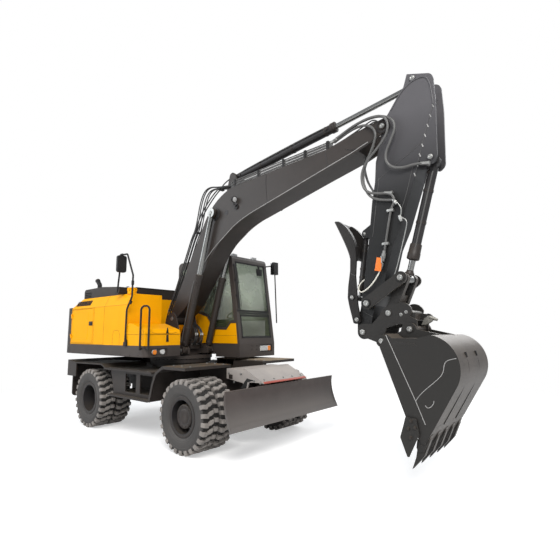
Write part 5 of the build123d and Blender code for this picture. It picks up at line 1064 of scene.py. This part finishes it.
def add_boom():
    """Weld seams, pipes and clamps along the top, hoses over the knee and at the foot, bosses and a lamp."""
    seam = ((700, 2672), (930, 2985), (1110, 3145), (1251, 3250), (1490, 3400), (1721, 3545), (2037, 3660),
            (2452, 3762), (2993, 3895), (3551, 4035), (4037, 4150), (4090, 4175), (4240, 4215))
    draw_welds("boom_seams", "boom", "bright_rod", SEAM, 6, [at_y(y, *seam) for y in BOOM_FACES])
    joints = (((2424, 4240), (2414, 4103), (2440, 3790), (2452, 3765)),
              ((2452, 3765), (2420, 3715), (2390, 3750)), ((3560, 4300), (3600, 4050)),
              ((3900, 4220), (3960, 4180), (4060, 4170)))
    draw_welds("boom_joints", "boom", "grey_paint", FINISH["grey_paint"], 5,
               [at_y(y, *joint) for y in BOOM_FACES for joint in joints])
    pipes = [at_y(-229 + 9 * (i % 2), (1600, 4205 + 22 * i), (1660, 4238 + 22 * i), (1760, 4244 + 22 * i),
                  (2780, 4296 + 22 * i), (3560, 4332 + 19.8 * i), (3680, 4345 + 17.6 * i))
             for i in range(5)]
    pipes += [at_y(y, (1600, 4222), (1700, 4264), (2780, 4320), (3560, 4356), (3680, 4370))
              for y in (95, 123, 151)]
    run_curves("boom_pipes", "boom", "dark_paint", PIPE_PAINT_WITH_HIGHLIGHT, 9.5, pipes)
    bm = bmesh.new()
    for x, z in ((1700, 4228), (2250, 4250), (2780, 4277), (3200, 4296), (3600, 4315)):
        add_block(bm, (x - 22, -242, z - 2), (x + 22, -200, z + 122), 5)
        add_block(bm, (x - 22, 78, z - 2), (x + 22, 168, z + 62), 5)
    add_block(bm, (520, -190, 3040), (590, -60, 3075), 5)
    add_block(bm, (548, -176, 3588), (600, -60, 3620), 6)
    add_block(bm, (1190, -186, 4290), (1250, -60, 4345), 6)
    finish_mesh("boom_clamps", "boom", "black_trim", bm)
    over = []
    for y, lift in ((-180, 0), (-140, 12), (-90, -12), (-40, 6)):
        over.append([(-190, y, 2150), (-40, y, 2420), (130, y, 2800 + lift), (330, y, 3190 + lift),
                     (470, y, 3500 + lift), (575, y, 3640 + lift), (640, y, 3860 + lift),
                     (700, y, 4120 + lift), (800, y, 4330 + lift), (960, y, 4400 + lift), (1220, y, 4335),
                     (1400, y, 4310), (1560, y, 4290), (1640, y, 4275)])
    for y, lift in ((-205, 0), (-160, -10)):
        over.append([(-150, y, 2140), (80, y, 2540), (330, y, 3020), (560, y, 3520 + lift),
                     (730, y, 3860 + lift), (900, y, 4040 + lift), (1110, y, 4220 + lift), (1260, y, 4300),
                     (1420, y, 4300), (1600, y, 4262)])
    run_curves("knee_hoses", "boom", "black_trim", RUBBER, 11, over)
    feed = [(1150, -70, 4330), (1100, 0, 4430), (1300, 20, 4540), (1600, 20, 4560), (1930, 0, 4560),
            (2240, -20, 4570)]
    bend_hoses("arm_cylinder_hose", RUBBER, 11, [feed])
    bm = bmesh.new()
    ring = [(-7, 15), (-5, 19), (0, 21), (5, 19), (7, 15)]
    for i in range(16):
        for y in KNEE_HOSE_YS:
            add_turned(bm, (-170 + 16 * i, y, 2190 + 445 * i / 15), HOSE_WAY, ring, 12)
    finish_mesh("hose_sleeves", "boom", "black_trim", bm, [RUBBER])
    foot = [at_y(y, (-190, 2150), (-255, 2010), (-290, 1860), (-300, 1700), (-290, 1580), (-240, 1450))
            for y in KNEE_HOSE_YS]
    bend_hoses("foot_hoses", RUBBER, 12, foot)
    bm = bmesh.new()
    for y in KNEE_HOSE_YS:
        add_turned(bm, (-192, y, 2146), HOSE_WAY,
                   [(-34, 12), (-32, 17), (-8, 17), (-6, 21), (8, 21), (10, 16), (34, 16), (36, 12)], 6)
    finish_mesh("sleeve_fittings", "boom", "bright_rod", bm, [FITTING])
    bm = bmesh.new()
    add_block(bm, (-326, -205, 1690), (-274, 70, 1726), 5)
    add_block(bm, (-262, -205, 1398), (-215, 70, 1452), 5)
    finish_mesh("foot_clamps", "upper", "yellow_paint", bm)
    bm = bmesh.new()
    pin_pairs(bm, [(ARM_PIN, 214, 40)], 1)
    for side, y in zip((-1, 1), BOOM_FACES):
        add_turned(bm, (BOOM_LIFT_EYE[0], y, BOOM_LIFT_EYE[1]), (0, side, 0),
                   [(-2, 118), (8, 116), (12, 108), (12, 92), (26, 90)], 36)
        add_turned(bm, (1500, y, 3790), (0, side, 0), [(-1, 46), (2.5, 44), (3.5, 38), (1.5, 34), (1.5, 0)],
                   28)
        add_turned(bm, (ARM_PIN[0], y + side, ARM_PIN[1]), (0, side, 0), [(-2, 92), (4, 90), (5, 70)],
                   36)
    finish_mesh("boom_bosses", "boom", "grey_paint", bm, [FINISH["grey_paint"], FITTING])
    bm = bmesh.new()
    add_block(bm, (1738, -262, 3836), (1790, -240, 3880), 4)
    add_plate(bm, [(1715, 3800), (1790, 3800), (1800, 3850), (1760, 3870), (1720, 3850)], -262, -256,
              bevel=2)
    lamp, ahead = (1738, -292, 3962), (1, 0, -0.25)
    add_turned(bm, lamp, ahead, [(-36, 22), (-34, 40), (-10, 50), (22, 54), (26, 54), (26, 49)], 28)
    add_turned(bm, lamp, ahead, [(20, 48), (25, 40), (27, 0)], 28, 1)
    add_plate(bm, [(1720, 3865), (1744, 3865), (1752, 3930), (1718, 3930)], -286, -278, bevel=1.5)
    finish_mesh("boom_lamp", "boom", "black_trim", bm, [BLACK, CLEAR_LENS])


def cylinder_way(base, eye):
    """The unit way along a cylinder in the XZ plane."""
    span = sqrt((eye[0] - base[0]) ** 2 + (eye[1] - base[1]) ** 2)
    return ((eye[0] - base[0]) / span, 0, (eye[1] - base[1]) / span)


# Name, body, base pin, eye pin, Y places, barrel and rod radius, barrel length
CYLINDERS = (
    ("boom_cylinder", "boom_cylinder_barrels", BOOM_LIFT_BASE, BOOM_LIFT_EYE, (-320, 240), 62, 45, 1400),
    ("arm_cylinder", "arm_cylinder_barrel", ARM_LIFT_BASE, ARM_LIFT_EYE, (GEAR_Y,), 67, 38, 2110),
    ("bucket_cylinder", "bucket_cylinder_barrel", BUCKET_LIFT_BASE, BUCKET_LIFT_EYE, (GEAR_Y,), 58, 38, 1240),
    ("thumb_cylinder", "thumb_cylinder_barrel", THUMB_LIFT_BASE, THUMB_LIFT_EYE, (GEAR_Y,), 36, 25, 760),
    ("blade_cylinder", "blade_cylinder_barrels", (2010, 960), (2462, 590), (-130, 130), 50, 30, 509))


def add_cylinders():
    """Gland collars in two bands, wiper rings, ports, feed pipes with clamps, and pin heads."""
    for name, body, base, eye, ys, radius, rod, length in CYLINDERS:
        way = cylinder_way(base, eye)
        bm = bmesh.new()
        pipes = []
        big = radius + 8
        size = max(0.55, radius / 62)
        for y in ys:
            start = (base[0], y, base[1])
            gland = [(-72, radius), (-72, big + 3), (-40, big + 3), (-37, big - 1), (-33, big - 1),
                     (-30, big + 3), (-4, big + 3), (1, big - 3), (3, rod + 10), (9, rod + 6), (9, rod + 1.5)]
            band = [(-190, radius - 1), (-190, radius + 3.5), (-176, radius + 5), (-162, radius + 3.5),
                    (-162, radius - 1)]
            for profile, sides in ((gland, 40), (band, 36)):
                add_turned(bm, start, way, [(length + offset, reach) for offset, reach in profile], sides)
            out = (-way[2], 0, way[0])
            if name == "arm_cylinder":
                out = (0, -1, 0)
            if name in ("boom_cylinder", "bucket_cylinder"):
                out = (0.5 * way[2], -0.8, -0.5 * way[0])
            for offset in (150, length - 130):
                centre = (base[0] + way[0] * offset, y, base[1] + way[2] * offset)
                add_turned(bm, centre, out, [(radius - 6, 24 * size), (radius + 12, 24 * size),
                                             (radius + 14, 20 * size), (radius + 14, 0)], 16)
            if name != "blade_cylinder":
                out_y, out_x = (-0.94, 0.35) if y < 0 else (0.66, 0.75)
                points = []
                for offset, lift in ((140, 0.75), (175, 1.0), (length - 170, 1.0), (length - 120, 0.8)):
                    reach = (radius + 17) * lift
                    points.append((base[0] + way[0] * offset - out_x * reach * way[2], y + out_y * reach,
                                   base[1] + way[2] * offset + out_x * reach * way[0]))
                pipes.append(points)
                for offset in (length * 0.3, length * 0.62):
                    add_turned(bm, start, way,
                               [(offset - 14, radius - 1), (offset - 14, radius + 5),
                                (offset + 14, radius + 5), (offset + 14, radius - 1)], 36)
        finish_mesh(name + "_collars", body, "dark_paint", bm)
        if pipes:
            run_curves(name + "_pipes", body, "dark_paint", PIPE_PAINT_WITH_HIGHLIGHT, 8.5 if radius > 40 else 5, pipes)
    bm = bmesh.new()
    add_turned(bm, (BUCKET_LIFT_EYE[0], GEAR_Y, BUCKET_LIFT_EYE[1]),
               cylinder_way(BUCKET_LIFT_EYE, BUCKET_LIFT_BASE),
               [(52, 39), (56, 58), (72, 60), (92, 48), (104, 42), (112, 42), (114, 38.5)], 36)
    finish_mesh("bucket_rod_end", "bucket_cylinder_rod", "dark_paint", bm)
    bm = bmesh.new()
    add_turned(bm, (BUCKET_LIFT_BASE[0], GEAR_Y, BUCKET_LIFT_BASE[1]),
               cylinder_way(BUCKET_LIFT_BASE, BUCKET_LIFT_EYE),
               [(1040, 59), (1040, 68), (1056, 72), (1150, 74), (1156, 78), (1228, 78), (1238, 70),
                (1240, 60)], 40)
    finish_mesh("bucket_gland", "bucket_cylinder_barrel", "dark_paint", bm)
    bm = bmesh.new()
    for y, side in ((-320, -1), (240, 1)):
        pin_head(bm, BOOM_LIFT_EYE, y + side * 35, side, 52)
        add_turned(bm, (BOOM_LIFT_EYE[0], y, BOOM_LIFT_EYE[1]), (0, side, 0),
                   [(-34, 86), (-30, 89), (30, 89), (34, 86)], 36, 1)
    finish_mesh("rod_eyes", "boom_cylinder_rods", "bright_rod", bm, [FITTING, DARK])
    bm = bmesh.new()
    pin_pairs(bm, [(BOOM_LIFT_BASE, 346, 44), (BOOM_FOOT, 235, 52)])
    finish_mesh("deck_pins", "upper", "bright_rod", bm, [FITTING])


def add_arm():
    """Raised rims, seams, pipes with clamps, a shut-off valve with its tag, pin heads and hoses."""
    rim = ((4560, 4560), (4690, 4740), (4760, 4795), (4870, 4850), (4990, 4850), (5050, 4800), (5085, 4650),
           (5098, 4440))
    seams = (((4331, 3665), (4600, 3820), (4863, 3953), (4950, 4012)),
             ((4811, 3733), (4708, 3354), (4638, 3220)), ((4240, 2930), (4360, 3700)),
             ((4200, 1900), (4060, 1980)), ((5096, 4440), (5000, 4150), (4948, 4012), (4830, 3600)))
    for word, y in (("right", -205.8), ("left", 125.8)):
        draw_welds("arm_rim_" + word, "arm", "grey_paint", ARM_PAINT_WITH_PAINTED_LIGHT, 11, [at_y(y, *rim)])
        draw_welds("arm_seams_" + word, "arm", "grey_paint", SEAM_DARK, 3.6,
                   [at_y(y, *seam) for seam in seams])
    stitches = [((5094 - 265 * t, -206, 4420 - 800 * t), Euler((0, -0.32, 0)), 1.0)
                for t in [i / 7 for i in range(8)]]
    bm = bmesh.new()
    dash = bmesh.ops.create_cube(bm, size=1)["verts"]
    for vert in dash:
        vert.co = Vector((vert.co.x * 0.012, vert.co.y * 0.006, vert.co.z * 0.045))
    repeat_piece("arm_stitches", "arm", "grey_paint", SEAM, pattern_object("stitch_pattern", bm), stitches)
    bm = bmesh.new()
    pin_pairs(bm, [(ARM_LIFT_EYE, 177, 36), (BUCKET_LIFT_BASE, 177, 36), ((4160, 2070), 259, 46),
                   (THUMB_LIFT_BASE, 62, 20), ((4000, 1870), 220, 30)])
    finish_mesh("arm_pins", "arm", "bright_rod", bm, [FITTING])
    pipe = [(4568, -246, 3340), (4560, -246, 3300), (4516, -232, 3240), (4470, -232, 3032),
            (4428, -232, 2826), (4408, -232, 2715)]
    second = [(4640, -232, 3118), (4690, -232, 3085), (4716, -232, 3040), (4700, -232, 2960),
              (4640, -230, 2760), (4560, -226, 2500), (4500, -224, 2340)]
    run_curves("arm_pipes", "arm", "dark_paint", PIPE_PAINT_WITH_HIGHLIGHT, 15, [pipe], sides=4)
    run_curves("arm_thin_pipe", "arm", "bright_rod", FITTING, 6.5,
               [second, [(4585, -240, 3330), (4640, -238, 3262), (4655, -236, 3190), (4638, -234, 3120)]])
    bm = bmesh.new()
    for x, z in ((4506, 3226), (4424, 2810)):
        add_block(bm, (x - 42, -250, z - 17), (x + 42, -205, z + 17), 5)
    for (x, z), way in (((4570, 3330), (0.5, 0, -0.86)), ((4636, 3104), (0.3, 0, -0.95))):
        add_turned(bm, (x, -240, z), way, [(-34, 12), (-32, 19), (0, 19), (2, 23), (26, 23), (28, 15),
                                           (44, 15), (46, 0)], 6)
    add_turned(bm, (4396, -232, 2680), (-0.2, 0, -0.98),
               [(-45, 14), (-43, 20), (-10, 20), (-8, 27), (52, 27), (54, 20), (90, 20), (92, 14), (92, 0)],
               8)
    add_block(bm, (4366, -272, 2640), (4402, -246, 2652), 4)
    add_block(bm, (4376, -280, 2560), (4392, -268, 2650), 4)
    add_turned(bm, (4362, -232, 2540), (-0.25, 0, -0.97),
               [(-34, 11), (-32, 17), (22, 17), (24, 12), (44, 12), (44, 0)], 8)
    finish_mesh("arm_fittings", "arm", "bright_rod", bm, [FITTING])
    bm = bmesh.new()
    add_plate(bm, [(4312, 2646), (4384, 2628), (4362, 2462), (4276, 2480)], -262, -258, bevel=1)
    finish_mesh("valve_tag", "arm", "lamp_lens", bm, [ORANGE_TAG])
    run_curves("white_hose", "arm", "pale_paint", WHITE_HOSE, 9,
               [[(4350, -232, 2500), (4310, -236, 2420), (4240, -250, 2320), (4150, -262, 2240),
                 (4072, -258, 2212), (4024, -240, 2260), (4020, -190, 2330), (4060, -120, 2400),
                 (4120, -100, 2420)]], sides=4)
    thick = [
        [(3700, -238, 4402), (3860, -252, 4452), (4060, -272, 4500), (4290, -292, 4520), (4490, -300, 4478),
         (4560, -300, 4350), (4530, -300, 4200), (4400, -298, 4060), (4235, -296, 3930), (4150, -292, 3780),
         (4160, -284, 3600), (4240, -270, 3500), (4380, -256, 3470), (4500, -250, 3448), (4560, -248, 3400),
         (4568, -246, 3350)],
        [(3700, -222, 4402), (3900, -240, 4470), (4160, -262, 4525), (4420, -278, 4510), (4610, -282, 4400),
         (4640, -280, 4260), (4570, -278, 4120), (4495, -274, 3980), (4490, -268, 3860), (4560, -260, 3770),
         (4700, -250, 3725), (4850, -244, 3738), (4985, -236, 3715), (5022, -226, 3680)],
        [(3700, -206, 4392), (3860, -226, 4440), (4080, -254, 4476), (4270, -270, 4440), (4380, -272, 4300),
         (4330, -272, 4120), (4200, -268, 3900), (4150, -262, 3700), (4200, -252, 3520), (4290, -244, 3420),
         (4430, -238, 3372), (4560, -234, 3350)],
    ]
    bend_hoses("arm_hoses", HOSE, 17, thick, sides=4)
    thin = [[(3700, y, 4372), (3860, y, 4425), (4010, y, 4465), (4180, y, 4530), (4300, y, 4560),
             (4350, y * 0.9, 4500)] for y in (-150, -95, -40, 15, 70)]
    bend_hoses("tip_hoses", RUBBER, 9, thin)
    back = [at_y(y, (4120, 4110), (4090, 3990), (4110, 3840), (4150, 3700), (4230, 3560), (4262, 3470))
            for y in (-110, -70)]
    bend_hoses("arm_back_hoses", RUBBER, 9, back)
    bm = bmesh.new()
    for x, y, z, way in ((4975, -236, 3716, (0.95, 0, -0.2)), (4500, -249, 3452, (0.95, 0, -0.2)),
                         (3716, -236, 4408, (1, 0, 0.3)), (3716, -220, 4408, (1, 0, 0.3))):
        add_turned(bm, (x, y, z), way, [(-60, 17), (-58, 20), (30, 20), (32, 24), (54, 24), (56, 16),
                                        (56, 0)], 12)
    finish_mesh("hose_ends", "arm", "bright_rod", bm, [FITTING])


def add_bucket():
    """Pin heads, the coupler's casting, grooves, seams, side cutters with bolts and tooth adapters."""
    bm = bmesh.new()
    pin_pairs(bm, [((4070, 1710), 210, 42), ((4430, 1940), 210, 42), ((4350, 1600), 262, 38),
                   ((4710, 1740), 262, 38), ((4593, 1916), 204, 20), ((4656, 1944), 204, 20)])
    finish_mesh("coupler_pins", "bucket", "bright_rod", bm, [FITTING])
    bm = bmesh.new()
    pin_pairs(bm, [(BUCKET_LIFT_EYE, 259, 44)])
    finish_mesh("link_pins", "guide_links", "bright_rod", bm, [FITTING])
    bm = bmesh.new()
    pin_pairs(bm, [(THUMB_LIFT_EYE, 220, 28)])
    finish_mesh("thumb_pins", "thumb", "bright_rod", bm, [FITTING])
    bm = bmesh.new()
    pieces = [(4760, 1790), (4800, 1870), (4862, 1905), (4905, 1870), (4890, 1830), (4820, 1790)]
    add_plate(bm, pieces, -62, -18, bevel=9)
    add_turned(bm, (4895, GEAR_Y, 1868), (0.85, 0, -0.3),
               [(-30, 30), (0, 26), (16, 22), (40, 17), (60, 15), (63, 0)], 16)
    add_turned(bm, (4690, GEAR_Y, 1935), (0, 1, 0), [(-150, 24), (-146, 30), (146, 30), (150, 24)], 20)
    finish_mesh("coupler_casting", "bucket", "bright_rod", bm, [CASTING])
    faces = (-600.8, 520.8)
    bands = [at_y(y, (4554, 1673), (4863, 978), (4954, 750)) for y in faces]
    run_curves("bucket_bands", "bucket", "bright_rod", SEAM, 4.5, bands, poly=True, sides=2)
    seams = (((5303, 1440), (5218, 1425), (5179, 1381), (5168, 1294), (5120, 1230), (4901, 1047),
              (4863, 978)), ((4964, 945), (4974, 920), (5018, 929), (5054, 975), (5055, 1000)))
    draw_welds("bucket_seams", "bucket", "bright_rod", SEAM, 3.6,
               [at_y(y, *seam) for y in faces for seam in seams])
    groove = ((5072, 1671), (5232, 1588), (5328, 1425), (5337, 1290), (5293, 1150), (5043, 715))
    draw_welds("bucket_strips", "bucket", "worn_steel", DARK_VOID, 5,
               [at_y(y, *groove) for y in (-300, 110)])
    bm = bmesh.new()
    for side, y in ((-1, -598), (1, 518)):
        outer = y + side * 26
        cutter = [(4752, 812), (4682, 590), (4752, 400), (4775, 400), (4892, 640), (4868, 800)]
        add_plate(bm, cutter, y + side * 21, outer, bevel=4)
        add_plate(bm, [(4600, 1560), (4650, 1600), (4880, 1585), (4900, 1560)], y - side * 2, y + side * 4,
                  bevel=2)
    for y in (-300, -80, 140):
        add_plate(bm, [(4860, 560), (4938, 545), (5000, 655), (4965, 690)], y + 45, y + 165, bevel=4)
    for y in (-538, -289, -40, 209, 458):
        adapter = [(4852, 585), (4838, 500), (4856, 455), (4918, 468), (4975, 575), (5000, 640),
                   (4968, 668), (4930, 610)]
        add_plate(bm, adapter, y - 46, y + 46, bevel=7)
        add_turned(bm, (4888, y, 520), (0, -1, 0), [(44, 15), (49, 14), (50, 0)], 16)
    finish_mesh("bucket_edges", "bucket", "worn_steel", bm)
    spots = ((4810, 770), (4778, 690), (4850, 710), (4800, 600))
    places = [((x, y, z), (0, side, 0), 1.9) for x, z in spots for y, side in ((-624, -1), (544, 1))]
    add_bolts("bucket_bolts", "bucket", "worn_steel", DARK, places)
    bm = bmesh.new()
    for y in (-300, 90):
        add_plate(bm, [(5300, 1490), (5318, 1496), (5330, 1440), (5312, 1436)], y - 12, y + 12, bevel=2)
    finish_mesh("bucket_slots", "bucket", "black_trim", bm, [DARK_VOID])
    seams = (((3990, 2440), (3925, 2480)), ((3925, 2700), (3878, 2860), (3700, 3215)))
    draw_welds("thumb_seams", "thumb", "dark_paint", SEAM_DARK, 4,
               [at_y(y, *seam) for y in (-248.8, 168.8) for seam in seams])


# ---------------------------------------------------------------- the whole machine
SLOT_OF = {row["node"]: row["material_slot"] for row in frame["record"]["subparts"]}
for node_name, node in NODES.items():
    node.data.materials.clear()
    node.data.materials.append(FINISH[SLOT_OF[node_name]])
for node_name, finish in (("cab_shell", FRAME_PAINT), ("cab_door", FRAME_PAINT), ("deck", FRAME_PAINT),
                          ("thumb", THUMB_PAINT), ("arm", ARM_PAINT_WITH_PAINTED_LIGHT)):
    NODES[node_name].data.materials[0] = finish
door = NODES["cab_door"].data
door.materials.append(FINISH["glass"])
for face in door.polygons:
    if DOOR_PANE_Y[0] < face.center.y < DOOR_PANE_Y[1] and abs(face.normal.y) > 0.9:
        face.material_index = 1

add_wheels()
add_chassis()
add_blade()
add_body()
add_deck()
add_cab()
add_cab_inside()
add_boom()
add_cylinders()
add_arm()
add_bucket()

add_camera()
add_floor()
add_light()
